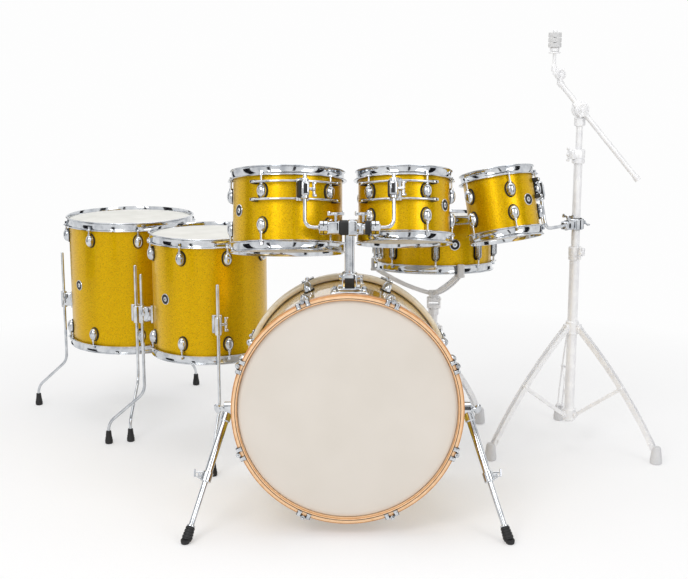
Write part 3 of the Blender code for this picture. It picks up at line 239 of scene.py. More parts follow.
# Drum shells
# Maple plies are steamed into a cylinder, cut at both ends to a bearing edge and sprayed
# outside with clear lacquer over gold sparkle; the inside is left as sanded wood.
BACK = Vector((0, 1, 0))
SHELL_WALL = 0.007
BEARING_EDGE = ((0.0, 0.002), (0.0015, 0.0), (0.003, 0.0), (SHELL_WALL, 0.005))
SPARKLE = ["#C49200", "#CEA000", "#DAB000", "#E8C810"]
MAPLE = ["#B98A54", "#D9B27C"]
DRUMS = {
    "bass": {"body": "kit", "radius": 0.278, "half": 0.2285, "lugs": 8, "first": 22.5},
    "tom_12": {"body": "tom_12_body", "radius": 0.151, "half": 0.1015, "lugs": 5, "first": -23.6},
    "tom_10": {"body": "tom_10_body", "radius": 0.1255, "half": 0.089, "lugs": 5, "first": 25},
    "tom_8": {"body": "tom_8_body", "radius": 0.1, "half": 0.089, "lugs": 5, "first": 12},
    "floor_tom_16": {"body": "kit", "radius": 0.2015, "half": 0.203, "lugs": 8, "first": 16},
    "floor_tom_14": {"body": "kit", "radius": 0.176, "half": 0.178, "lugs": 8, "first": 23},
    "snare": {"body": "snare_body", "radius": 0.176, "half": 0.076, "lugs": 8, "first": -3},
}


def facing(angle):
    """The turn that carries a piece made facing the audience to a bearing."""
    return Matrix.Rotation(radians(angle), 4, "Z")


def circle(sides):
    return [2 * pi * k / sides for k in range(sides)]


def turned(profile, sides=96, kinds=None):
    """A closed body turned about Z from (radius, height) points, mapped in metres."""
    shape = bmesh.new()
    chart = shape.loops.layers.uv.new("UVMap")
    rings = []
    for radius, height in profile:
        if radius == 0:
            rings.append([shape.verts.new((0, 0, height))] * sides)
        else:
            places = [(radius * cos(a), radius * sin(a), height) for a in circle(sides)]
            rings.append([shape.verts.new(place) for place in places])
    run, pitch = 0, 2 * pi * max(profile)[0] / sides
    for step, low in enumerate(rings):
        after = (step + 1) % len(rings)
        high = rings[after]
        if profile[step][0] == 0 and profile[after][0] == 0:
            continue
        end = run + (Vector(profile[after]) - Vector(profile[step])).length
        for k in range(sides):
            n = (k + 1) % sides
            corners = [(low[k], k, run), (low[n], k + 1, run)]
            corners += [(high[n], k + 1, end), (high[k], k, end)]
            chosen = {}
            for vert, across, along in corners:
                chosen.setdefault(vert, (across * pitch, along))
            face = shape.faces.new(list(chosen))
            face.material_index = kinds[step] if kinds else 0
            for loop in face.loops:
                loop[chart].uv = chosen[loop.vert]
        run = end
    return shape


def finish_mesh(name, shape, materials, crease=32):
    """The mesh of a shape, with outward faces and creases only at its real edges."""
    bmesh.ops.recalc_face_normals(shape, faces=shape.faces)
    mesh = bpy.data.meshes.new(name)
    shape.to_mesh(mesh)
    shape.free()
    for material in materials:
        mesh.materials.append(material)
    mesh.shade_smooth()
    mesh.set_sharp_from_angle(angle=radians(crease))
    return mesh


def add_piece(name, mesh, body, nodes, place=None):
    """A piece that rides on a body and is drawn in the place of solids of the frame."""
    if place:
        mesh.transform(place)
    thing = new_object(name, mesh)
    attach(thing, body)
    for node in nodes:
        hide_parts(node)


def add_pieces(parts, body, nodes, place=None, crease=32):
    """Pieces of one body, each given by its name with its shape and its materials."""
    for name, (shape, *materials) in parts.items():
        add_piece(name, finish_mesh(name, shape, materials, crease), body, nodes, place)


def drum_place(name):
    """A drum's own frame: Z from the lower head to the played one, X to the right."""
    upper, lower = middle_of(f"{name}_batter_head"), middle_of(f"{name}_resonant_head")
    if name == "bass":
        upper, lower = lower, upper
    along = (upper - lower).normalized()
    right = BACK.cross(along).normalized()
    turn = Matrix((right, along.cross(right), along)).transposed()
    return Matrix.Translation((upper + lower) / 2) @ turn.to_4x4()


def sparkle(name, weight, index):
    """Lacquer: 1.2 mm flakes and 6 mm clusters glitter under a smooth coat."""
    made, tree, shader = new_material(name, {"Metallic": 0.6, "Specular IOR Level": 0.1})
    wire(tree, shader, {"Coat Weight": weight, "Coat IOR": index, "Coat Roughness": 0.03})
    place = add(tree, "ShaderNodeTexCoord").node.outputs["Object"]
    flakes = add(tree, "ShaderNodeTexVoronoi", {"Vector": place, "Scale": 800.0}).node
    single = add(tree, "ShaderNodeSeparateColor", {"Color": flakes.outputs["Color"]})
    inputs = {"Vector": place, "Scale": 170.0, "Detail": 3.0}
    mixed = add(tree, "ShaderNodeMath", {0: add(tree, "ShaderNodeTexNoise", inputs), 1: single})
    inputs = {"Value": mixed, "From Min": 0.2, "From Max": 1.8}
    share = add(tree, "ShaderNodeMapRange", inputs)
    gold = add(tree, "ShaderNodeValToRGB", {"Fac": share}, SPARKLE, (0.0, 1.0))
    rough = add(tree, "ShaderNodeMapRange", {"Value": single, "To Min": 0.26, "To Max": 0.4})
    inputs = {"Height": single, "Strength": 0.04, "Distance": 0.0003}
    bumps = add(tree, "ShaderNodeBump", inputs)
    wire(tree, shader, {"Base Color": gold, "Normal": bumps, "Roughness": rough})
    return made


lacquer = sparkle("sparkle_lacquer", 0.5, 1.2)
bass_lacquer = sparkle("bass_lacquer", 1.0, 1.5)

# Maple: grain 0.6 mm across and 40 mm long, in light and dark figure, sanded matt.
maple = patterned("sanded_maple", {"Roughness": 0.55}, MAPLE, (1.0, 4.0),
                  bumps=(1.0, 4.0, 0.3, 0.0002), stretch=(25.0, 1600.0, 1.0))

for name, drum in DRUMS.items():
    lower = [(drum["radius"] - inset, rise - drum["half"]) for inset, rise in BEARING_EDGE]
    upper = [(radius, -height) for radius, height in lower]
    shape = turned(upper[:1] + lower + upper[:0:-1], 128, (0, 1, 1, 1, 1, 1, 1, 1))
    outside = bass_lacquer if name == "bass" else lacquer
    parts = {f"{name}_shell_wood": (shape, outside, maple)}
    add_pieces(parts, drum["body"], [f"{name}_shell"], drum_place(name))


# Drum heads
# Each head is a polyester film clamped in an aluminium flesh hoop that slips over the
# shell. The played heads have a sprayed white coat; the bass heads are smooth cream film.
FILM_PROFILE = (
    (-0.009, 0.0015), (-0.003, 0.0012), (0.0008, -0.0002), (0.0023, -0.0035),
    (0.0023, -0.009), (0.0004, -0.009), (0.0004, -0.0005), (-0.006, 0.0003),
)
COATED = ["#DAD9D3", "#E6E5E0"]
CREAM = ["#D4CDC3", "#D9D2C9"]

# Coated film: a 0.4 mm sprayed grain that catches light, with 60 mm clouds of use.
coated = patterned("coated_film", {}, COATED, (16.0, 4.0), (2500.0, 2.0, 0.5, 0.75),
                   (2500.0, 2.0, 0.3, 0.0002))

# Cream film: smooth, with a 150 mm drift of tone and faint 3 mm haze in its gloss.
cream = patterned("cream_film", {}, CREAM, (6.0, 2.0), (300.0, 3.0, 0.36, 0.5))


def ends_of(name):
    """The two ends of a drum, each with the place of a ring that is made for the upper one."""
    place = drum_place(name)
    over = place @ Matrix.Rotation(pi, 4, "X")
    played, other = (over, place) if name == "bass" else (place, over)
    return {"batter": played, "resonant": other}


for name, drum in DRUMS.items():
    profile = [(drum["radius"] + x, drum["half"] + z) for x, z in FILM_PROFILE]
    profile = [(0, profile[0][1]), *profile, (0, profile[-1][1])]
    for end, place in ends_of(name).items():
        parts = {f"{name}_{end}_film": (turned(profile), cream if name == "bass" else coated)}
        add_pieces(parts, drum["body"], [f"{name}_{end}_head"], place)


# Metal hoops
# Steel strip rolled into a ring with three bends: a lip at the top, an upright wall and a
# flange at the foot, then chromed. The tension rods pass through round ears on the flange.
UP = Vector((0, 0, 1))
HOOP_TOP = 0.012
HOOP_FOOT = 0.016
HOOP_GAP = 0.0026
HOOP_LIP = (
    (0.0, -0.001), (0.0007, 0.0), (0.0042, 0.0), (0.0058, -0.0006),
    (0.0064, -0.002), (0.0058, -0.0034), (0.0036, -0.0042), (0.0024, -0.006),
)
HOOP_FLANGE = (
    (0.0024, 0.0052), (0.0034, 0.004), (0.0054, 0.0033), (0.0095, 0.0031), (0.0105, 0.0022),
    (0.0105, 0.0006), (0.0095, 0.0), (0.003, 0.0), (0.0008, 0.001), (0.0, 0.003),
)
HOOP_PROFILE = [(x, HOOP_TOP + z) for x, z in HOOP_LIP]
HOOP_PROFILE += [(x, z - HOOP_FOOT) for x, z in HOOP_FLANGE]
ROD_OFFSET = 0.0086
EAR_RADIUS = 0.0085
EAR_THICKNESS = 0.0034
CHROME = ["#AEB2B8", "#CBCED2", "#DCDFE2"]

# Chrome: 30 mm smudges in the gloss and a 20 mm waviness keep the mirror from being perfect.
chrome = patterned("chrome", {"Metallic": 1.0}, CHROME, (35.0, 4.0), (35.0, 4.0, 0.05, 0.13),
                   (50.0, 1.0, 0.025, 0.0005))


def add_shape(shape, part, place):
    """Moves a part into place and puts it in the shape."""
    bmesh.ops.transform(part, matrix=place, verts=part.verts)
    mesh = bpy.data.meshes.new("part")
    part.to_mesh(mesh)
    part.free()
    shape.from_mesh(mesh)
    bpy.data.meshes.remove(mesh)


def spindle(shape, start, along, rings, sides=24):
    """A round body on an axis, from (distance, radius) pairs; its ends are closed."""
    turn = UP.rotation_difference(Vector(along)).to_matrix().to_4x4()
    profile = [(radius, distance) for distance, radius in rings]
    profile = [(0, profile[0][1]), *profile, (0, profile[-1][1])]
    add_shape(shape, turned(profile, sides), Matrix.Translation(Vector(start)) @ turn)


def disc(shape, start, along, length, radius, soft=0.001, sides=24):
    """A round body of one radius with softened ends."""
    rings = [(0, radius - soft), (soft, radius), (length - soft, radius), (length, radius - soft)]
    spindle(shape, start, along, rings, sides)


def make_ring_tree():
    """A node tree that sets copies of a piece round a drum, in two rows."""
    tree = bpy.data.node_groups.new("ring_of_pieces", "GeometryNodeTree")
    sockets = {
        "Piece": "Geometry", "Count": "Int", "Radius": "Float", "First bearing": "Float",
        "Height": "Float", "Lower height": "Float", "Material": "Material",
    }
    for name, kind in sockets.items():
        tree.interface.new_socket(name, in_out="INPUT", socket_type=f"NodeSocket{kind}")
    tree.interface.new_socket("Pieces", in_out="OUTPUT", socket_type="NodeSocketGeometry")
    given = add(tree, "NodeGroupInput").node.outputs
    inputs = {0: add(tree, "GeometryNodeInputIndex"), 1: given["Count"]}
    part = add(tree, "ShaderNodeMath", inputs, operation="DIVIDE")
    inputs = {0: part, 1: 2 * pi, 2: given["First bearing"]}
    angle = add(tree, "ShaderNodeMath", inputs, operation="MULTIPLY_ADD")
    level = {}
    for axis, wave, sign in (("X", "SINE", 1.0), ("Y", "COSINE", -1.0)):
        reach = add(tree, "ShaderNodeMath", {0: given["Radius"], 1: sign}, operation="MULTIPLY")
        inputs = {0: add(tree, "ShaderNodeMath", {0: angle}, operation=wave), 1: reach}
        level[axis] = add(tree, "ShaderNodeMath", inputs, operation="MULTIPLY")
    joined = tree.nodes.new("GeometryNodeJoinGeometry")
    for height, roll in (("Height", 0.0), ("Lower height", pi)):
        place = add(tree, "ShaderNodeCombineXYZ", {**level, "Z": given[height]})
        points = add(tree, "GeometryNodePoints", {"Count": given["Count"], "Position": place})
        turn = add(tree, "ShaderNodeCombineXYZ", {"Y": roll, "Z": angle})
        inputs = {"Points": points, "Instance": given["Piece"], "Rotation": turn}
        tree.links.new(add(tree, "GeometryNodeInstanceOnPoints", inputs), joined.inputs[0])
    whole = add(tree, "GeometryNodeRealizeInstances", {"Geometry": joined.outputs[0]})
    inputs = {"Geometry": whole, "Material": given["Material"]}
    add(tree, "NodeGroupOutput", {"Pieces": add(tree, "GeometryNodeSetMaterial", inputs)})
    return tree


RING = make_ring_tree()


def add_ring(name, shape, material, owner, nodes, radius, height, lower=None):
    """One piece repeated at the lugs of the drum that owns it, at both ends of the drum."""
    drum = DRUMS[owner]
    holder = new_object(name, finish_mesh(name, shape, (material,)))
    modifier = holder.modifiers.new("ring", "NODES")
    modifier.node_group = RING
    values = {
        "Count": drum["lugs"],
        "Radius": radius,
        "First bearing": radians(drum["first"]),
        "Height": height,
        "Lower height": -height if lower is None else lower,
        "Material": material,
    }
    for socket in RING.interface.items_tree:
        if socket.in_out == "INPUT" and socket.name in values:
            modifier[socket.identifier] = values[socket.name]
    graph = bpy.context.evaluated_depsgraph_get()
    mesh = bpy.data.meshes.new_from_object(holder.evaluated_get(graph))
    bpy.data.objects.remove(holder)
    add_piece(name, mesh, drum["body"], nodes, drum_place(owner))


def hoop_nodes(name):
    return [f"{name}_batter_hoop", f"{name}_resonant_hoop"]


for name, drum in DRUMS.items():
    if name == "bass":
        continue
    radius, half, ear = drum["radius"], drum["half"], bmesh.new()
    disc(ear, (0, 0, 0), UP, EAR_THICKNESS, EAR_RADIUS, 0.0006, 20)
    reach, level = radius + ROD_OFFSET, half - HOOP_FOOT
    add_ring(f"{name}_ears", ear, chrome, name, hoop_nodes(name), reach, level)
    profile = [(radius + HOOP_GAP + x, half + z) for x, z in HOOP_PROFILE]
    for end, place in ends_of(name).items():
        parts = {f"{name}_{end}_rim": (turned(profile, 128), chrome)}
        add_pieces(parts, drum["body"], [f"{name}_{end}_hoop"], place, crease=50)


# Lugs and tension rods
# Each lug is an oval zinc casting, chromed and screwed through the shell over a black
# gasket; a rod with a square key head and a washer runs from the hoop's ear into it.
LUG_SIZE = (0.027, 0.041)
LUG_DEPTH = 0.0185
SNARE_LUG_SIZE = (0.02, 0.093)
BASS_LUG_DEPTH = 0.0275
BASS_ROD_OFFSET = 0.0216
LUG_DOME = (
    (-0.1, 1.0), (0.3, 1.0), (0.5, 0.95), (0.7, 0.84), (0.86, 0.66), (0.96, 0.42), (1.0, 0.18),
)
LUG_INSETS = {"bass": 0.1, "floor_tom_16": 0.049, "floor_tom_14": 0.049}
RACK_LUG_INSET = 0.056
GASKET_LIP = 0.0055
GASKET_LEVELS = ((-0.003, 1.0), (0.0022, 1.0), (0.003, 0.97))
ROD_RADIUS = 0.0028
ROD_SEAT = EAR_THICKNESS - HOOP_FOOT
RUBBER = ["#0B0B0C", "#1C1C1E"]

# Rubber: a 0.5 mm moulded grain and dusty 8 mm patches keep the black from going flat.
rubber = patterned("black_rubber", {}, RUBBER, (120.0, 3.0), (120.0, 3.0, 0.45, 0.7),
                   (2000.0, 2.0, 0.3, 0.0003))


def skin(shape, rings):
    """Joins rings of points into a tube with closed ends."""
    rings = [[shape.verts.new(place) for place in ring] for ring in rings]
    for low, high in zip(rings, rings[1:]):
        for k, vert in enumerate(low):
            n = (k + 1) % len(low)
            shape.faces.new((vert, low[n], high[n], high[k]))
    shape.faces.new(rings[0])
    shape.faces.new(rings[-1])


def oval(shape, size, levels, straight=0.0, points=28):
    """An oval body that stands out to the front, from (depth, share of its size) pairs."""
    width, tall = size[0] / 2, size[1] / 2 - straight
    angles = [a + pi / points for a in circle(points)]
    shifts = [straight if sin(a) > 0 else -straight for a in angles]
    skin(shape, [[(width * share * cos(a), -depth, shift + tall * share * sin(a))
                  for a, shift in zip(angles, shifts)] for depth, share in levels])


for name, drum in DRUMS.items():
    bass, snare = name == "bass", name == "snare"
    radius, half = drum["radius"], drum["half"]
    depth, offset = (BASS_LUG_DEPTH, BASS_ROD_OFFSET) if bass else (LUG_DEPTH, ROD_OFFSET)
    wide, tall = SNARE_LUG_SIZE if snare else LUG_SIZE
    straight = (tall - wide) / 2 if snare else 0.0
    centre, lower = (0.0, 0.0) if snare else (half - LUG_INSETS.get(name, RACK_LUG_INSET), None)
    lug, gasket, rod = (bmesh.new() for _ in range(3))
    oval(lug, (wide, tall), [(depth * level, share) for level, share in LUG_DOME], straight)
    oval(gasket, (wide + GASKET_LIP, tall + GASKET_LIP), GASKET_LEVELS, straight)
    for way in (1, -1) if snare else (1,):
        disc(lug, (0, -offset, way * (tall / 2 - 0.009)), UP * way, 0.0115, 0.0047, 0.0008, 16)
    for label, part, material in (("lugs", lug, chrome), ("gaskets", gasket, rubber)):
        nodes = [f"{name}_shell"]
        add_ring(f"{name}_{label}", part, material, name, nodes, radius, centre, lower)
    if bass:
        continue
    start, seat = centre + tall / 2 - half - 0.002, UP * ROD_SEAT
    disc(rod, UP * start, UP, ROD_SEAT - start, ROD_RADIUS, 0.0004, 12)
    disc(rod, seat, UP, 0.0016, 0.0062, 0.0004, 20)
    spindle(rod, seat, UP, [(0.0016, 0.0048), (0.003, 0.0044)], 16)
    spindle(rod, seat, UP, [(0.003, 0.0038), (0.0096, 0.0038), (0.0104, 0.003)], 4)
    add_ring(f"{name}_rods", rod, chrome, name, hoop_nodes(name), radius + offset, half)


# Vent badges
# A stamped brass disc, plated and filled with black enamel, is held to each shell by the
# eyelet that lines its air vent. The eyelet is drawn closed, and a black disc on it is
# painted shade for the vent hole.
BADGE_RADIUS = 0.0168
ENAMEL = (0.0072, 0.0147)
VENT_RADIUS = 0.003
BADGE_RINGS = (
    (-0.002, BADGE_RADIUS), (0.001, BADGE_RADIUS), (0.0018, BADGE_RADIUS - 0.0006),
    (0.0018, ENAMEL[1]), (0.0009, ENAMEL[1]), (0.0009, ENAMEL[0]), (0.0018, ENAMEL[0]),
    (0.0018, VENT_RADIUS + 0.0016), (0.0026, VENT_RADIUS + 0.001), (0.0026, VENT_RADIUS),
)
BADGES = {
    "tom_12": (-57, -0.002), "tom_10": (58, 0.0), "tom_8": (44, 0.0),
    "floor_tom_16": (-48, 0.0), "floor_tom_14": (-43, 0.0), "snare": (16, 0.0),
}


def against(angle, radius, height=0.0):
    """The place on a shell of a piece that is made facing the audience."""
    return Matrix.Translation(bearing(angle, radius, height)) @ facing(angle)


for name, (angle, height) in BADGES.items():
    drum, plate, enamel_and_hole_shade = DRUMS[name], bmesh.new(), bmesh.new()
    spindle(plate, (0, 0, 0), -BACK, BADGE_RINGS, 40)
    spindle(enamel_and_hole_shade, (0, 0, 0), -BACK, [(0.0004, ENAMEL[1]), (0.0013, ENAMEL[1])], 40)
    # Painted shade: a black disc just above the closed eyelet stands for the dark vent hole.
    spindle(enamel_and_hole_shade, (0, 0, 0), -BACK, [(0.001, VENT_RADIUS * 0.8), (0.0027, VENT_RADIUS * 0.8)], 24)
    place = drum_place(name) @ against(angle, drum["radius"], height)
    parts = {f"{name}_badge": (plate, chrome), f"{name}_enamel": (enamel_and_hole_shade, rubber)}
    add_pieces(parts, drum["body"], [f"{name}_shell"], place)


# Bass drum hoops and claws
# The hoops are maple strips bent into rings, stained amber and lacquered. Eight chromed
# claws hook over each one, and a key screw through each claw draws it to its lug.
WOOD_OUTER = 0.2961
WOOD_INNER = 0.2806
WOOD_FACE = 0.2405
WOOD_REAR = 0.2025
CLAW_SPREAD = 0.0125
AMBER_SETS = {
    "amber_edge": ["#A8672C", "#C8894A", "#D69E62"],
    "amber_face": ["#D9A871", "#EBC296", "#F0CDA6"],
    "amber_groove": ["#4A2A12", "#6A4222", "#7C5230"],
    # Painted sheen: the rear hoop's maple is drawn pale cream, not amber, for the glare of its
    # lacquer at a grazing angle.
    "sheen_painted_maple": ["#D6C6A6", "#E8DDC6", "#F1E9DA"],
}


def wood(name, colours):
    """Grain 0.8 mm across and 50 mm along the bend, with 14 mm figure, under a clear coat."""
    plain = {"Roughness": 0.4, "Coat Weight": 0.5, "Coat Roughness": 0.1}
    made, tree, shader = new_material(name, plain)
    place = add(tree, "ShaderNodeUVMap")
    noises = []
    for stretch, detail in (((20.0, 1100.0, 1.0), 5.0), ((70.0, 90.0, 1.0), 2.0)):
        mapped = add(tree, "ShaderNodeMapping", {"Vector": place, "Scale": stretch})
        inputs = {"Vector": mapped, "Scale": 1.0, "Detail": detail}
        noises.append(add(tree, "ShaderNodeTexNoise", inputs))
    mixed = add(tree, "ShaderNodeMath", dict(enumerate(noises)))
    inputs = {"Value": mixed, "From Min": 0.55, "From Max": 1.45}
    share = add(tree, "ShaderNodeMapRange", inputs)
    tone = add(tree, "ShaderNodeValToRGB", {"Fac": share}, colours, (0.0, 1.0))
    inputs = {"Height": noises[0], "Strength": 0.15, "Distance": 0.0002}
    wire(tree, shader, {"Base Color": tone, "Normal": add(tree, "ShaderNodeBump", inputs)})
    return made


def slab(shape, centre, size, edge=0.0015, turn=None, steps=2):
    """A block with rounded edges."""
    part = bmesh.new()
    bmesh.ops.create_cube(part, size=1, matrix=Matrix.Diagonal((*size, 1)))
    edge = min(edge, min(size) * 0.42)
    bevel = {"offset": edge, "segments": steps, "profile": 0.5, "affect": "EDGES"}
    bmesh.ops.bevel(part, geom=part.edges[:], **bevel)
    turn = (turn or Matrix.Identity(3)).to_4x4()
    add_shape(shape, part, Matrix.Translation(centre) @ turn)


amber_edge, amber_face, amber_groove, sheen_painted_maple = (wood(*item) for item in AMBER_SETS.items())
# Front hoop: amber stains. Rear hoop: maple grain in pale colours, a painted sheen, with the same
# dark groove.
STAINS_AND_SHEEN = {
    "resonant": (amber_edge, amber_face, amber_groove),
    "batter": (sheen_painted_maple, sheen_painted_maple, amber_groove),
}
profile = [
    (WOOD_OUTER, WOOD_FACE - 0.0035), (WOOD_OUTER, WOOD_REAR + 0.003),
    (WOOD_OUTER - 0.003, WOOD_REAR), (WOOD_INNER + 0.002, WOOD_REAR),
    (WOOD_INNER, WOOD_REAR + 0.002), (WOOD_INNER, WOOD_FACE - 0.0022),
    (WOOD_INNER + 0.0018, WOOD_FACE), (WOOD_INNER + 0.0042, WOOD_FACE),
    (WOOD_INNER + 0.0044, WOOD_FACE - 0.0008), (WOOD_INNER + 0.006, WOOD_FACE - 0.0008),
    (WOOD_INNER + 0.0062, WOOD_FACE), (WOOD_OUTER - 0.0034, WOOD_FACE),
    (WOOD_OUTER - 0.001, WOOD_FACE - 0.0012),
]
kinds = (0, 0, 0, 0, 1, 0, 1, 2, 2, 2, 1, 0, 0)
for end, stains_and_sheen in STAINS_AND_SHEEN.items():
    parts = {f"bass_{end}_wood": (turned(profile, 160, kinds), *stains_and_sheen)}
    add_pieces(parts, "kit", [f"bass_{end}_hoop"], ends_of("bass")[end], 60)

claw, pad = bmesh.new(), bmesh.new()
slab(claw, (0, -0.0026, -0.0095), (0.034, 0.0046, 0.017), 0.0018)
for x in (-CLAW_SPREAD, CLAW_SPREAD):
    slab(claw, (x, 0.0025, 0.0028), (0.0095, 0.0135, 0.004), 0.0016)
    slab(claw, (x, -0.0024, -0.001), (0.0095, 0.0046, 0.0115), 0.0016)
    slab(claw, (x, 0.0085, 0.0034), (0.0115, 0.004, 0.0044), 0.0016)
    slab(pad, (x, 0.0035, 0.0006), (0.012, 0.015, 0.0012), 0.0004)
slab(pad, (0, -0.0004, -0.0095), (0.037, 0.0012, 0.02), 0.0004)
key = Vector((0, -0.0042, 0))
spindle(claw, key, UP, [(-0.019, 0.005), (-0.016, 0.0064), (0.002, 0.0064), (0.004, 0.0056)], 20)
spindle(claw, key, UP, [(0.004, 0.0054), (0.0056, 0.0054)], 20)
spindle(claw, key, UP, [(0.0056, 0.004), (0.012, 0.004), (0.013, 0.0032)], 4)
rod_start = DRUMS["bass"]["half"] - LUG_INSETS["bass"] + LUG_SIZE[1] / 2 - WOOD_FACE - 0.004
spindle(claw, (0, -0.0035, 0), UP, [(rod_start, ROD_RADIUS), (-0.018, ROD_RADIUS)], 12)
for label, part, material in (("claws", claw, chrome), ("claw_pads", pad, rubber)):
    nodes = hoop_nodes("bass")
    add_ring(f"bass_{label}", part, material, "bass", nodes, WOOD_OUTER, WOOD_FACE)


# Spurs
# A chromed steel tube pivots on a casting at each side of the bass drum, locked by a knob;
# a thinner leg slides in it, held by a ring clamp with a wire wing, and has a rubber foot.
RIGHT = Vector((1, 0, 0))
SPUR_PIVOT = (0.312, 0.118, 0.2983)
SPUR_FOOT = (0.41, -0.068, 0)
SPUR_TUBE = 0.2
SPUR_TUBE_RADIUS = 0.0105
SPUR_LEG_RADIUS = 0.0073
SPUR_INSERT = 0.09
SPUR_BOSS = ((0, 0.0265), (0.012, 0.026), (0.022, 0.021), (0.027, 0.0195), (0.0287, 0.0185))
KNOB_SIZE = (0.02, 0.029)
KNOB_LEVELS = ((0, 0.55), (0.002, 0.86), (0.005, 1.0), (0.008, 0.86), (0.01, 0.55))
TIP_RINGS = [(0, 0.0098)]
for rib in range(4):
    start, size = 0.0015 + 0.0075 * rib, 0.0118 + 0.0006 * rib
    TIP_RINGS += [(start, size), (start + 0.005, size + 0.0003), (start + 0.0055, size - 0.0012)]
    TIP_RINGS += [(start + 0.007, size - 0.0012)]
TIP_RINGS += [(0.033, 0.013), (0.036, 0.011), (0.0385, 0.006)]


def pipe(shape, route, radius, sides=16):
    """A round rod along a route, with softened ends."""
    route = [Vector(point) for point in route]
    ways = [(b - a).normalized() for a, b in zip(route, route[1:])]
    ways = [ways[0]] + [(a + b).normalized() for a, b in zip(ways, ways[1:])] + [ways[-1]]
    side, soft = ways[0].orthogonal().normalized(), min(radius * 0.4, 0.0015)
    stations = [(route[0], ways[0], radius - soft), (route[0] + ways[0] * soft, ways[0], radius)]
    stations += [(point, way, radius) for point, way in zip(route[1:-1], ways[1:-1])]
    stations += [(route[-1] - ways[-1] * soft, ways[-1], radius)]
    stations += [(route[-1], ways[-1], radius - soft)]
    rings = []
    for point, way, size in stations:
        side = (side - way * side.dot(way)).normalized()
        other = way.cross(side)
        rings.append([point + (side * cos(a) + other * sin(a)) * size for a in circle(sides)])
    skin(shape, rings)


def basis(along, across):
    """A turn with Z along one direction and X as near as can be to the other."""
    along, across = Vector(along).normalized(), Vector(across)
    across = (across - along * across.dot(along)).normalized()
    return Matrix((across, along.cross(across), along)).transposed()


for side, label in ((-1, "left"), (1, "right")):
    pivot = spot(side * SPUR_PIVOT[0], SPUR_PIVOT[1], SPUR_PIVOT[2])
    foot = spot(side * SPUR_FOOT[0], SPUR_FOOT[1], 0)
    along, out = (foot - pivot).normalized(), RIGHT * side
    end = pivot + along * SPUR_TUBE
    boss, tube, knob, leg, tip = (bmesh.new() for _ in range(5))
    spindle(boss, pivot - out * 0.04, out, SPUR_BOSS, 32)
    disc(tube, pivot - out * 0.011, out, 0.022, 0.0188, 0.0012, 32)
    spindle(tube, pivot + out * 0.011, out, [(0, 0.011), (0.003, 0.0085), (0.012, 0.0065)], 20)
    oval(knob, KNOB_SIZE, KNOB_LEVELS)
    turn = Matrix.Rotation(radians(side * 16), 4, "Y") @ facing(side * 24)
    add_shape(tube, knob, Matrix.Translation(pivot + out * 0.027 + BACK * 0.005) @ turn)
    spindle(tube, pivot + along * 0.014, along, [(0, 0.0135), (0.02, 0.0135), (0.023, 0.011)])
    pipe(tube, [pivot + along * 0.03, end - along * 0.004], SPUR_TUBE_RADIUS, 24)
    disc(tube, end - along * 0.025, along, 0.0262, 0.0142, 0.0014)
    clamp, outward = end - along * 0.012, (out - along * along.dot(out)).normalized()
    disc(tube, clamp + outward * 0.012, outward, 0.011, 0.0045, 0.0008, 16)
    corner = clamp + outward * 0.03
    for reach in (0.013, -0.013):
        start = clamp + outward * 0.013 - along * reach * 0.7
        pipe(tube, [start, corner - along * reach * 0.3], 0.0015, 8)
    pipe(tube, [corner + along * 0.008, corner + outward * 0.006 - along * 0.012], 0.0024, 10)
    pipe(leg, [end - along * SPUR_INSERT, foot - along * 0.03], SPUR_LEG_RADIUS, 24)
    disc(leg, foot - along * 0.0485, along, 0.0046, 0.0112, 0.0008)
    spindle(tip, foot - along * 0.044, along, TIP_RINGS)
    spindle(tip, foot, UP, [(0, 0.0085), (0.002, 0.0108), (0.009, 0.0118), (0.012, 0.011)])
    spur = f"spur_{label}"
    add_pieces({f"{spur}_boss": (boss, chrome)}, "kit", ["bass_shell"])
    add_pieces({f"{spur}_sleeve": (tube, chrome)}, f"{spur}_tube_body", [f"{spur}_tube"])
    parts = {f"{spur}_rod": (leg, chrome), f"{spur}_tip": (tip, rubber)}
    add_pieces(parts, f"{spur}_leg_body", [f"{spur}_leg"])


# Tom holder
# A cast base is bolted to the bass shell; a chromed post slides in it and carries a cross
# head, whose two hinged clamps grip the L-rods of the toms.
HOLDER = (0.005, 0.2)
HOLDER_TOP = 0.5991
POST_FOOT = 0.4531
POST_RADIUS = 0.0128
HEAD_HEIGHT = 0.766
HEAD_HALF = 0.079
ARM_RADIUS = 0.0052
ARM_RISE = 0.142
ARMS = (("left", -0.112, "tom_12", -1), ("right", 0.121, "tom_10", 1))


def rounded(corners, reach=0.026, steps=8):
    """The route through the corners, with a smooth bend at each inner one."""
    corners = [Vector(corner) for corner in corners]
    route = [corners[0]]
    for before, corner, after in zip(corners, corners[1:], corners[2:]):
        first = corner + (before - corner).normalized() * reach
        last = corner + (after - corner).normalized() * reach
        for step in range(steps + 1):
            t = step / steps
            route.append(first * (1 - t) ** 2 + corner * 2 * t * (1 - t) + last * t * t)
    return route + [corners[-1]]


def wing_bolt(shape, start, along, across, span, reach):
    """A bolt with two flat wings, as one turns by hand."""
    start, along, across = Vector(start), Vector(along).normalized(), Vector(across)
    across = (across - along * along.dot(across)).normalized()
    rings = [(0, 0.0042), (reach - 0.004, 0.0042), (reach - 0.003, 0.006)]
    spindle(shape, start, along, rings + [(reach + 0.004, 0.006), (reach + 0.005, 0.005)], 16)
    turn = basis(along, across)
    for way in (-1, 1):
        middle = start + along * (reach + 0.0015) + across * way * span * 0.27
        slab(shape, middle, (span * 0.5, 0.0042, 0.0075), 0.0018, turn)
        tip = start + along * (reach + 0.003) + across * way * span * 0.45
        slab(shape, tip, (0.0075, 0.0052, 0.012), 0.0022, turn)


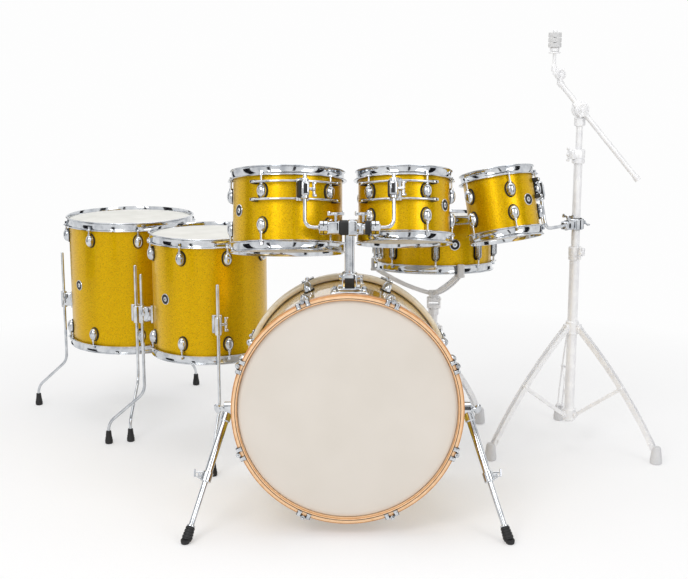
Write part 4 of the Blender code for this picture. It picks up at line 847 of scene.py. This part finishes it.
base, insert = bmesh.new(), bmesh.new()
slab(base, (0, 0, -0.009), (0.1, 0.07, 0.022), 0.006, steps=3)
slab(base, (0, 0, 0.004), (0.062, 0.058, 0.012), 0.004, steps=3)
for x in (-0.039, 0.039):
    for y in (-0.024, 0.024):
        disc(base, (x, y, 0), UP, 0.006, 0.006, 0.0015, 16)
slab(base, (0, 0, 0.027), (0.04, 0.042, 0.04), 0.005, steps=3)
spindle(base, (0, 0, 0.04), UP, [(0, 0.0205), (0.006, 0.0205), (0.0085, 0.0185)], 32)
for side in (-1, 1):
    disc(base, (side * 0.019, -0.006, 0.034), (side, 0, 0), 0.006, 0.0062, 0.001, 16)
    slab(base, (side * 0.024, -0.006, 0.036), (0.009, 0.012, 0.012), 0.003)
wing_bolt(base, (0.018, 0.006, 0.026), RIGHT, (0, 1, 0.4), 0.04, 0.012)
slab(insert, (0, -0.0212, 0.023), (0.026, 0.002, 0.026), 0.0008)
parts = {"holder_casting": (base, chrome), "holder_insert": (insert, rubber)}
add_pieces(parts, "kit", ["tom_holder_base"], Matrix.Translation(spot(*HOLDER, HOLDER_TOP)))

post, cores = bmesh.new(), bmesh.new()
pipe(post, [UP * (POST_FOOT - HEAD_HEIGHT), UP * 0.017], POST_RADIUS, 40)
slab(post, (0.008, 0, 0), (0.024, 0.036, 0.04), 0.004, steps=3)
slab(cores, (-0.0145, -0.001, 0), (0.023, 0.034, 0.036), 0.003)
slab(post, (-0.042, 0, 0), (0.034, 0.031, 0.034), 0.005, steps=3)
disc(post, (0.018, 0, 0), RIGHT, 0.028, 0.012, 0.001, 32)
slab(post, (0.03, 0, -0.004), (0.014, 0.028, 0.026), 0.004)
slab(cores, (0.048, -0.001, 0), (0.015, 0.032, 0.034), 0.003)
for side in (-1, 1):
    out = RIGHT * side
    disc(post, out * (HEAD_HALF - 0.023), out, 0.023, 0.0185, 0.0018, 32)
    disc(post, out * (HEAD_HALF - 0.002), out, 0.0045, 0.0098, 0.0012)
    disc(cores, out * (HEAD_HALF - 0.0125), out, 0.0022, 0.0189, 0.0003, 32)
    wing_bolt(post, (side * 0.036, -0.002, 0.015), UP, (1, 0.2, 0), 0.042, 0.02)
    disc(post, out * (HEAD_HALF - 0.012) - BACK * 0.016, -BACK, 0.007, 0.0058, 0.001, 16)
head = spot(*HOLDER, HEAD_HEIGHT)
parts = {"holder_pillar": (post, chrome), "holder_cores": (cores, rubber)}
add_pieces(parts, "holder_post_body", ["tom_holder_post"], Matrix.Translation(head))

for label, arm_x, tom, side in ARMS:
    lean = (drum_place(tom).to_3x3() @ UP).normalized()
    corner, inner = spot(arm_x, HOLDER[1], HEAD_HEIGHT), head + RIGHT * side * (HEAD_HALF - 0.035)
    arm = bmesh.new()
    pipe(arm, rounded([inner, corner, corner + lean * ARM_RISE]), ARM_RADIUS)
    add_pieces({f"arm_{label}_rod": (arm, chrome)}, f"tom_arm_{label}_body", [f"tom_arm_{label}"])


# Suspension mounts
# Two steel bars hang on rubber bushes at neighbouring lugs, so no screw goes through the
# shell between them; the bars carry a casting whose wing bolt grips the L-rod.
BAR_RADIUS = 0.0032
BAR_STANDOFF = 0.0165
BAR_SPAN = 0.047
BAR_STEPS = 12
BUSH_INSET = 0.0195
ROD_STANDOFF = 0.045
HALF_BETWEEN_LUGS = 36
MOUNTS = {"tom_12": (12.4, 15.7), "tom_10": (-11, -11.6), "tom_8": (120, 120)}

for name, (angle, rod_angle) in MOUNTS.items():
    drum = DRUMS[name]
    radius, level = drum["radius"], drum["half"] - RACK_LUG_INSET
    bars, bushes, casting, block = (bmesh.new() for _ in range(4))
    half_span = HALF_BETWEEN_LUGS + degrees(asin(BUSH_INSET / radius))
    angles = [angle + half_span * step / BAR_STEPS for step in range(-BAR_STEPS, BAR_STEPS + 1)]
    for height in (level - BAR_SPAN / 2, level + BAR_SPAN / 2):
        pipe(bars, [bearing(a, radius + BAR_STANDOFF, height) for a in angles], BAR_RADIUS, 12)
        for a in (angles[0], angles[-1]):
            turn, start = facing(a).to_3x3(), bearing(a, radius + BAR_STANDOFF + 0.0015, height)
            slab(bushes, bearing(a, radius + 0.008, height), (0.013, 0.018, 0.011), 0.002, turn)
            slab(bars, start, (0.015, 0.006, 0.008), 0.002, turn)
    near, far = BAR_STANDOFF - 0.003, ROD_STANDOFF + ARM_RADIUS + 0.006
    slab(casting, (0, -(near + far) / 2, 0), (0.022, far - near, 0.038), 0.005, steps=3)
    slab(casting, (0, -near - 0.003, 0), (0.034, 0.006, 0.06), 0.002)
    slab(block, (-0.013, -(near + far) / 2 + 0.003, 0), (0.008, 0.026, 0.044), 0.003)
    slab(block, (0, -far, 0), (0.01, 0.0024, 0.026), 0.0008)
    for way in (-1, 1):
        slab(casting, (0, -near - 0.007, way * 0.0235), (0.024, 0.014, 0.015), 0.003)
        disc(casting, (0, -ROD_STANDOFF, way * 0.017), UP * way, 0.01, 0.0105, 0.002)
    wing_bolt(casting, (0.01, -ROD_STANDOFF + 0.004, 0.0), RIGHT, (0, 0.1, 1), 0.038, 0.014)
    turn = against(rod_angle, radius, level)
    add_shape(bars, casting, turn)
    add_shape(bushes, block, turn)
    parts = {f"{name}_mount_bars": (bars, chrome), f"{name}_mount_bushes": (bushes, rubber)}
    add_pieces(parts, drum["body"], [f"{name}_shell"], drum_place(name))


# Floor tom legs and brackets
# Each leg is a bent steel rod that slides in a cast bracket on the shell, is held there by
# a wing bolt and stands in a rubber foot.
LEG_RADIUS = 0.0048
LEG_STANDOFF = 0.034
LEG_SPLAY = 17
LEG_REACH = 0.12
LEG_TOP = 0.545
LEG_FOOT = (
    (0, 0.0095), (0.002, 0.012), (0.012, 0.0122), (0.014, 0.0112), (0.02, 0.0108),
    (0.022, 0.0098), (0.034, 0.0086), (0.041, 0.008), (0.042, 0.0066),
)
LEGS = {"floor_tom_16": ((-93, 12, 157), 0.385), "floor_tom_14": ((-79, 12, 140), 0.42)}

for name, (angles, bracket) in LEGS.items():
    radius, place, castings = DRUMS[name]["radius"], drum_place(name), bmesh.new()
    floor = -place.translation.z
    for number, angle in enumerate(angles, 1):
        casting, leg, pad = (bmesh.new() for _ in range(3))
        slab(casting, (0, -0.0035, 0), (0.03, 0.009, 0.056), 0.003, steps=3)
        slab(casting, (0, -0.022, 0), (0.018, 0.036, 0.046), 0.005, steps=3)
        disc(casting, (0, -LEG_STANDOFF, -0.0275), UP, 0.055, 0.01, 0.0015)
        wing_bolt(casting, (0.008, -LEG_STANDOFF + 0.002, 0.004), RIGHT, (0, 0.1, 1), 0.04, 0.014)
        add_shape(castings, casting, against(angle, radius, floor + bracket))
        upright = bearing(angle, radius + LEG_STANDOFF, floor)
        foot = upright + bearing(angle - LEG_SPLAY, LEG_REACH)
        corners = [foot + UP * 0.02, foot + UP * 0.066, upright + UP * 0.17, upright + UP * LEG_TOP]
        pipe(leg, rounded(corners), LEG_RADIUS)
        spindle(pad, foot, UP, LEG_FOOT)
        node = f"{name}_leg_{number}"
        parts = {f"{node}_rod": (leg, chrome), f"{node}_foot": (pad, rubber)}
        add_pieces(parts, f"{node}_body", [node], place)
    add_pieces({f"{name}_brackets": (castings, chrome)}, "kit", [f"{name}_shell"], place)


# Snare strainer and wires
# The strainer is a chromed casting with a throw-off lever; it draws a band of coiled steel
# wires against the lower head, and a butt plate holds their other end.
STRAINER = -70
LEVER_STANDOFF = 0.0203
SNARE = drum_place("snare")
SNARE_RADIUS = DRUMS["snare"]["radius"]
WIRE_COUNT = 20
WIRE_PITCH = 0.0021
WIRE_RADIUS = 0.0008
WIRE_HEIGHT = -0.0788
WIRE_STEEL = ["#9A9CA0", "#D8DADC"]

housing, butt, whole, lever = (bmesh.new() for _ in range(4))
slab(housing, (0, -0.003, -0.02), (0.03, 0.008, 0.062), 0.003)
slab(housing, (0, -0.012, -0.014), (0.026, 0.016, 0.046), 0.005, steps=3)
disc(housing, (0, -0.011, 0.01), UP, 0.01, 0.0068, 0.001, 20)
for side in (-1, 1):
    disc(housing, (side * 0.0095, -0.012, -0.046), (side, 0, 0), 0.006, 0.005, 0.0008, 16)
slab(butt, (0, -0.004, -0.02), (0.03, 0.012, 0.06), 0.004)
for height in (-0.035, -0.006):
    disc(butt, (0, -0.008, height), -BACK, 0.005, 0.0045, 0.001, 16)
for part, angle in ((housing, STRAINER), (butt, STRAINER + 180)):
    add_shape(whole, part, against(angle, SNARE_RADIUS))
add_pieces({"snare_strainer_housing": (whole, chrome)}, "snare_body", ["snare_shell"], SNARE)

disc(lever, (-0.0084, -0.004, -0.046), RIGHT, 0.0168, 0.004, 0.0006, 20)
slab(lever, (0, -0.0045, -0.02), (0.013, 0.006, 0.052), 0.0022, steps=3)
slab(lever, (0, -0.006, 0.004), (0.0155, 0.005, 0.014), 0.0022, steps=3)
place = SNARE @ against(STRAINER, SNARE_RADIUS + LEVER_STANDOFF)
add_pieces({"snare_throw": (lever, chrome)}, "strainer_lever_body", ["snare_strainer_lever"], place)

# Snare steel: bright drawn wire whose 0.4 mm coils show as bands of roughness.
steel = patterned("snare_wire", {"Metallic": 1.0}, WIRE_STEEL, (2400.0, 1.0),
                  (2400.0, 1.0, 0.2, 0.4), (2400.0, 1.0, 0.5, 0.0003))

wires = bmesh.new()
for number in range(WIRE_COUNT):
    across = WIRE_PITCH * (number - (WIRE_COUNT - 1) / 2)
    pipe(wires, [(across, way * 0.146, WIRE_HEIGHT) for way in (-1, 1)], WIRE_RADIUS, 6)
for way in (-1, 1):
    slab(wires, (0, way * 0.149, WIRE_HEIGHT), (0.046, 0.012, 0.0017), 0.0006)
parts = {"snare_wire_band": (wires, steel)}
add_pieces(parts, "snare_wire_body", ["snare_wires"], SNARE @ facing(STRAINER))


# Snare stand
# Steel strip legs and braces are riveted to a hub and a collar on a tube; the tube's clamp
# holds the stem, and a hinged basket of three arms grips the drum's lower hoop in rubber.
SNARE_SPOT = spot(0.274, 0.832, 0)
BASKET_PIVOT = 0.45355
BASKET_RIM = SNARE_RADIUS + 0.0136
BASKET_SEAT = -0.0883
BASKET_FIRST = 20
BASE_RADIUS = 0.015
SNARE_BASE = (0.07, 0.33)
STEM_RADIUS = 0.0125
STEM_FOOT = 0.16
CLAMP_BEARING = 60
SATIN = ["#E9E9EB", "#F6F6F6"]
PALE_RUBBER = ["#CCCCCE", "#DADADB"]
FOOT_RINGS = (
    (0, 0.015), (0.002, 0.0178), (0.014, 0.018), (0.024, 0.0164), (0.046, 0.0136), (0.052, 0.0112),
)
CLAMP_RINGS = (
    (0, 0.0172), (0.002, 0.0192), (0.012, 0.0192), (0.013, 0.0182), (0.015, 0.0182),
    (0.016, 0.0196), (0.038, 0.0196), (0.042, 0.0172),
)

# Pale satin steel: 20 mm drifts of tone, and a 15 mm waviness in its soft sheen.
satin = patterned("pale_satin_steel", {"Metallic": 0.2}, SATIN, (50.0, 3.0), (50.0, 3.0, 0.3, 0.48),
                  (65.0, 1.0, 0.04, 0.0005))

# Pale rubber: matt, with a 0.6 mm moulded grain.
grip = patterned("pale_rubber", {"Roughness": 0.75}, PALE_RUBBER, (1600.0, 2.0),
                 bumps=(1600.0, 2.0, 0.3, 0.0003))


def bowed_strip(shape, start, end, across, width, thickness, bow=Vector(), steps=10):
    """A pressed steel strip between two points that bulges along the direction of bow."""
    rings = []
    for step in range(steps + 1):
        t = step / steps
        point = start.lerp(end, t) + bow * 4 * t * (1 - t)
        way = ((end - start) + bow * 4 * (1 - 2 * t)).normalized()
        deep, wide = way.cross(across).normalized() * thickness / 2, across * width / 2
        corners = (wide + deep, wide * 0.8 + deep * 1.3, wide * -0.8 + deep * 1.3, deep - wide)
        corners += (-wide - deep, wide - deep)
        rings.append([point + corner for corner in corners])
    skin(shape, rings)


def tube_clamp(shape, top, angle):
    """A split collar at the top of a tube, with a hinge lug and a wing bolt."""
    spindle(shape, UP * (top - 0.008), UP, CLAMP_RINGS, 32)
    out = bearing(angle)
    side, middle = out.cross(UP), out * 0.023 + UP * (top + 0.018)
    slab(shape, middle, (0.016, 0.014, 0.024), 0.003, facing(angle).to_3x3())
    wing_bolt(shape, middle + side * 0.007, side, UP, 0.038, 0.01)


def add_tripod(name, place, first, reach, hub, collar, tube):
    """A stand's lower tube with three double-strip legs, their braces, rivets and feet."""
    metal, feet = bmesh.new(), bmesh.new()
    pipe(metal, [UP * height for height in tube], BASE_RADIUS, 32)
    disc(metal, UP * (hub - 0.02), UP, 0.04, 0.0205, 0.002)
    disc(metal, UP * (collar - 0.018), UP, 0.036, 0.02, 0.002)
    for angle in (first, first + 120, first + 240):
        out, turn = bearing(angle), facing(angle).to_3x3()
        across, foot = out.cross(UP), out * reach
        top, start, ankle = out * 0.022 + UP * hub, out * 0.02 + UP * collar, foot + UP * 0.03
        bow = (out + UP * 0.6) * 0.014
        middle = top.lerp(ankle, 0.5) + bow
        for side in (-1, 1):
            shift = across * side * 0.0085
            bowed_strip(metal, top + shift, ankle + shift * 0.8, across, 0.0028, 0.0135, bow)
            shift = across * side * 0.0056
            bowed_strip(metal, start + shift, middle + shift, across, 0.0022, 0.0095)
        slab(metal, top, (0.022, 0.012, 0.022), 0.003, turn)
        slab(metal, start, (0.016, 0.012, 0.018), 0.003, turn)
        for rivet in (top, middle, start, ankle.lerp(top, 0.08)):
            disc(metal, rivet - across * 0.012, across, 0.024, 0.0042, 0.001, 14)
        spindle(feet, foot, UP, FOOT_RINGS)
    tube_clamp(metal, tube[1], CLAMP_BEARING)
    parts = {f"{name}_tripod": (metal, satin), f"{name}_tripod_feet": (feet, grip)}
    add_pieces(parts, "kit", [f"{name}_stand_base"], Matrix.Translation(place))


add_tripod("snare", SNARE_SPOT, first=4, reach=0.2, hub=0.27, collar=0.09, tube=SNARE_BASE)

stem = bmesh.new()
pipe(stem, [UP * STEM_FOOT, UP * (BASKET_PIVOT - 0.034)], STEM_RADIUS, 32)
slab(stem, UP * (BASKET_PIVOT - 0.032), (0.042, 0.024, 0.012), 0.003)
for side in (-1, 1):
    slab(stem, (side * 0.0183, 0, BASKET_PIVOT - 0.021), (0.006, 0.02, 0.036), 0.002)
disc(stem, UP * (BASKET_PIVOT - 0.06), UP, 0.02, 0.0165, 0.0015, 28)
place, parts = Matrix.Translation(SNARE_SPOT), {"snare_stem": (stem, satin)}
add_pieces(parts, "snare_stem_body", ["snare_stand_stem"], place)

basket, pads = bmesh.new(), bmesh.new()
pivot = SNARE.inverted() @ (SNARE_SPOT + UP * BASKET_PIVOT)
disc(basket, pivot - RIGHT * 0.015, RIGHT, 0.03, 0.0195, 0.002, 28)
wing_bolt(basket, pivot + Vector((0, -0.015, -0.006)), -BACK, RIGHT, 0.04, 0.012)
for angle in (BASKET_FIRST, BASKET_FIRST + 120, BASKET_FIRST + 240):
    turn, across = facing(angle).to_3x3(), bearing(angle).cross(UP)
    inner = pivot + bearing(angle, 0.012, 0.01)
    outer = bearing(angle, BASKET_RIM - 0.01, BASKET_SEAT - 0.006)
    for side in (-1, 1):
        shift = across * side * 0.006
        bowed_strip(basket, inner + shift, outer + shift, across, 0.0028, 0.01, UP * -0.008)
    disc(basket, outer - across * 0.0095, across, 0.019, 0.004, 0.001, 14)
    for reach, rise, size, edge in (
        (-0.004, -0.005, (0.022, 0.03, 0.009), 0.003),
        (0.005, 0.0105, (0.022, 0.009, 0.04), 0.0035),
        (0.003, 0.0275, (0.02, 0.012, 0.0065), 0.0025),
    ):
        slab(pads, bearing(angle, BASKET_RIM + reach, BASKET_SEAT + rise), size, edge, turn, 3)
parts = {"snare_basket_arms": (basket, satin), "snare_basket_grips": (pads, grip)}
add_pieces(parts, "snare_body", ["snare_basket"], SNARE)


# Boom stand
# A tripod of the same strip legs carries two tubes that slide in each other, a toothed
# boom clamp, the boom and a tilter with felt washers for a cymbal.
BOOM_SPOT = spot(0.69, 0.7, 0)
BOOM_BASE = (0.085, 0.6)
MIDDLE_TUBE = (0.35, 0.893)
UPPER_TUBE = (0.763, 1.016)
UPPER_TUBE_RADIUS = 0.0098
SEAT_HEIGHT = 1.045
BOOM_PIVOT = spot(0.69, 0.676, SEAT_HEIGHT)
BOOM_FALL = radians(49.8)
BOOM_ENDS = (-0.105, 0.27)
BOOM_RADIUS = 0.008
TILTER = spot(0.62223, 0.6597, 1.1472)
FELTS = ((0.078, 0.0915), (0.0925, 0.106), (0.107, 0.121))
FELT_RADIUS = 0.019
FELT = ["#C6C6C6", "#D6D6D6"]

# Felt: 1 mm tufts over a 0.3 mm fuzz, both matt.
plain = {"Roughness": 1.0, "Sheen Weight": 0.3}
felt = patterned("grey_felt", plain, FELT, (1000.0, 4.0), bumps=(1000.0, 4.0, 0.1, 0.0004))

add_tripod("boom", BOOM_SPOT, first=-64, reach=0.285, hub=0.383, collar=0.107, tube=BOOM_BASE)

middle, upper = bmesh.new(), bmesh.new()
pipe(middle, [UP * height for height in MIDDLE_TUBE], STEM_RADIUS, 32)
tube_clamp(middle, MIDDLE_TUBE[1], -CLAMP_BEARING)
seat = UP * SEAT_HEIGHT
pipe(upper, [UP * height for height in UPPER_TUBE], UPPER_TUBE_RADIUS, 32)
spindle(upper, UP * 0.995, UP, [(0, 0.0125), (0.003, 0.0165), (0.024, 0.0165), (0.027, 0.014)], 28)
rings = [(0, 0.0225), (0.002, 0.0255), (0.018, 0.0255), (0.02, 0.024)]
spindle(upper, seat - BACK * 0.01, BACK, rings, 36)
disc(upper, seat + BACK * 0.008, BACK, 0.009, 0.012, 0.002, 20)
for label, part in (("middle_tube", middle), ("upper_tube", upper)):
    nodes, parts = [f"boom_stand_{label}"], {f"boom_{label}": (part, satin)}
    add_pieces(parts, f"{label}_body", nodes, Matrix.Translation(BOOM_SPOT))

boom = bmesh.new()
down = Vector((cos(BOOM_FALL), 0, -sin(BOOM_FALL)))
high, low = (down * end for end in BOOM_ENDS)
raised = high + UP * 0.022
pipe(boom, [high, low], BOOM_RADIUS, 28)
disc(boom, low - down * 0.012, down, 0.014, 0.0098)
rings = [(0, 0.018), (0.002, 0.0208), (0.024, 0.0208), (0.0262, 0.0195)]
spindle(boom, BACK * -0.0127, BACK, rings, 36)
slab(boom, down * -0.022, (0.024, 0.024, 0.018), 0.004, basis(down, BACK), 3)
wing_bolt(boom, BACK * -0.012, -BACK, (0.4, 0, 1), 0.044, 0.012)
pipe(boom, [high - UP * 0.003, raised], 0.0078, 20)
disc(boom, high - down * 0.002, down, 0.016, 0.01)
disc(boom, raised - BACK * 0.009, BACK, 0.018, 0.015, 0.0014, 28)
place = Matrix.Translation(BOOM_PIVOT)
add_pieces({"boom_rod": (boom, satin)}, "boom_body", ["boom"], place)

metal, felts, foot = bmesh.new(), bmesh.new(), (-0.02, 0, 0)
disc(metal, BACK * -0.007, BACK, 0.014, 0.015, 0.0014, 28)
wing_bolt(metal, BACK * -0.006, -BACK, (0.2, 0, 1), 0.034, 0.01)
slab(metal, (-0.01, 0, 0.008), (0.026, 0.0125, 0.02), 0.003)
rings = [(0.01, 0.008), (0.026, 0.008), (0.03, 0.005), (0.127, 0.0045), (0.128, 0.0036)]
spindle(metal, foot, UP, rings, 20)
spindle(metal, foot, UP, [(0.06, 0.01), (0.061, 0.0165), (0.064, 0.0175), (0.0655, 0.0165)], 28)
for low, high in FELTS:
    disc(felts, (foot[0], 0, low), UP, high - low, FELT_RADIUS, 0.0015, 36)
spindle(metal, foot, UP, [(0.066, 0.012), (0.068, 0.014), (0.076, 0.014), (0.0785, 0.012)], 6)
spindle(metal, foot, UP, [(0.1205, 0.005), (0.122, 0.0068), (0.1265, 0.0068), (0.128, 0.005)], 20)
place = Matrix.Translation(TILTER)
parts = {"tilter_metal": (metal, satin), "tilter_felts": (felts, felt)}
add_pieces(parts, "cymbal_tilter_body", ["cymbal_tilter"], place)


# Clamp of the smallest tom
# A chromed casting in two halves closes round the boom stand's middle tube and holds the
# L-rod of the 8 in tom.
CLAMP = spot(0.69, 0.7, 0.703)
SMALL_ARM_RISE = 0.14
SMALL_ARM_START = -0.08

place = drum_place("tom_8")
start = bearing(MOUNTS["tom_8"][1], DRUMS["tom_8"]["radius"] + ROD_STANDOFF, SMALL_ARM_START)
corner, lean = place @ start - CLAMP, (place.to_3x3() @ UP).normalized()
out = Vector((corner.x, corner.y, 0)).normalized()
across = out.cross(UP)
clamp, liner = bmesh.new(), bmesh.new()
disc(clamp, UP * -0.016, UP, 0.032, 0.0238, 0.002, 40)
disc(liner, UP * -0.0175, UP, 0.035, 0.0175, 0.001, 36)
slab(clamp, out * 0.04, (0.026, 0.044, 0.026), 0.005, basis(UP, across), 3)
disc(liner, out * 0.0445, out, 0.008, 0.015, 0.001, 32)
spindle(clamp, out * 0.058, out, [(0, 0.012), (0.003, 0.012), (0.006, 0.0095)])
disc(clamp, out * -0.02, -out, 0.012, 0.008, 0.001, 20)
wing_bolt(clamp, out * -0.026, -out, across + UP * 0.4, 0.036, 0.014)
wing_bolt(clamp, out * 0.042 + UP * 0.012, UP, across, 0.036, 0.012)
pipe(clamp, rounded([out * 0.038, corner, corner + lean * SMALL_ARM_RISE]), ARM_RADIUS)
parts = {"small_tom_casting": (clamp, chrome), "small_tom_liner": (liner, rubber)}
add_pieces(parts, "tom_clamp_body", ["tom_clamp"], Matrix.Translation(CLAMP))
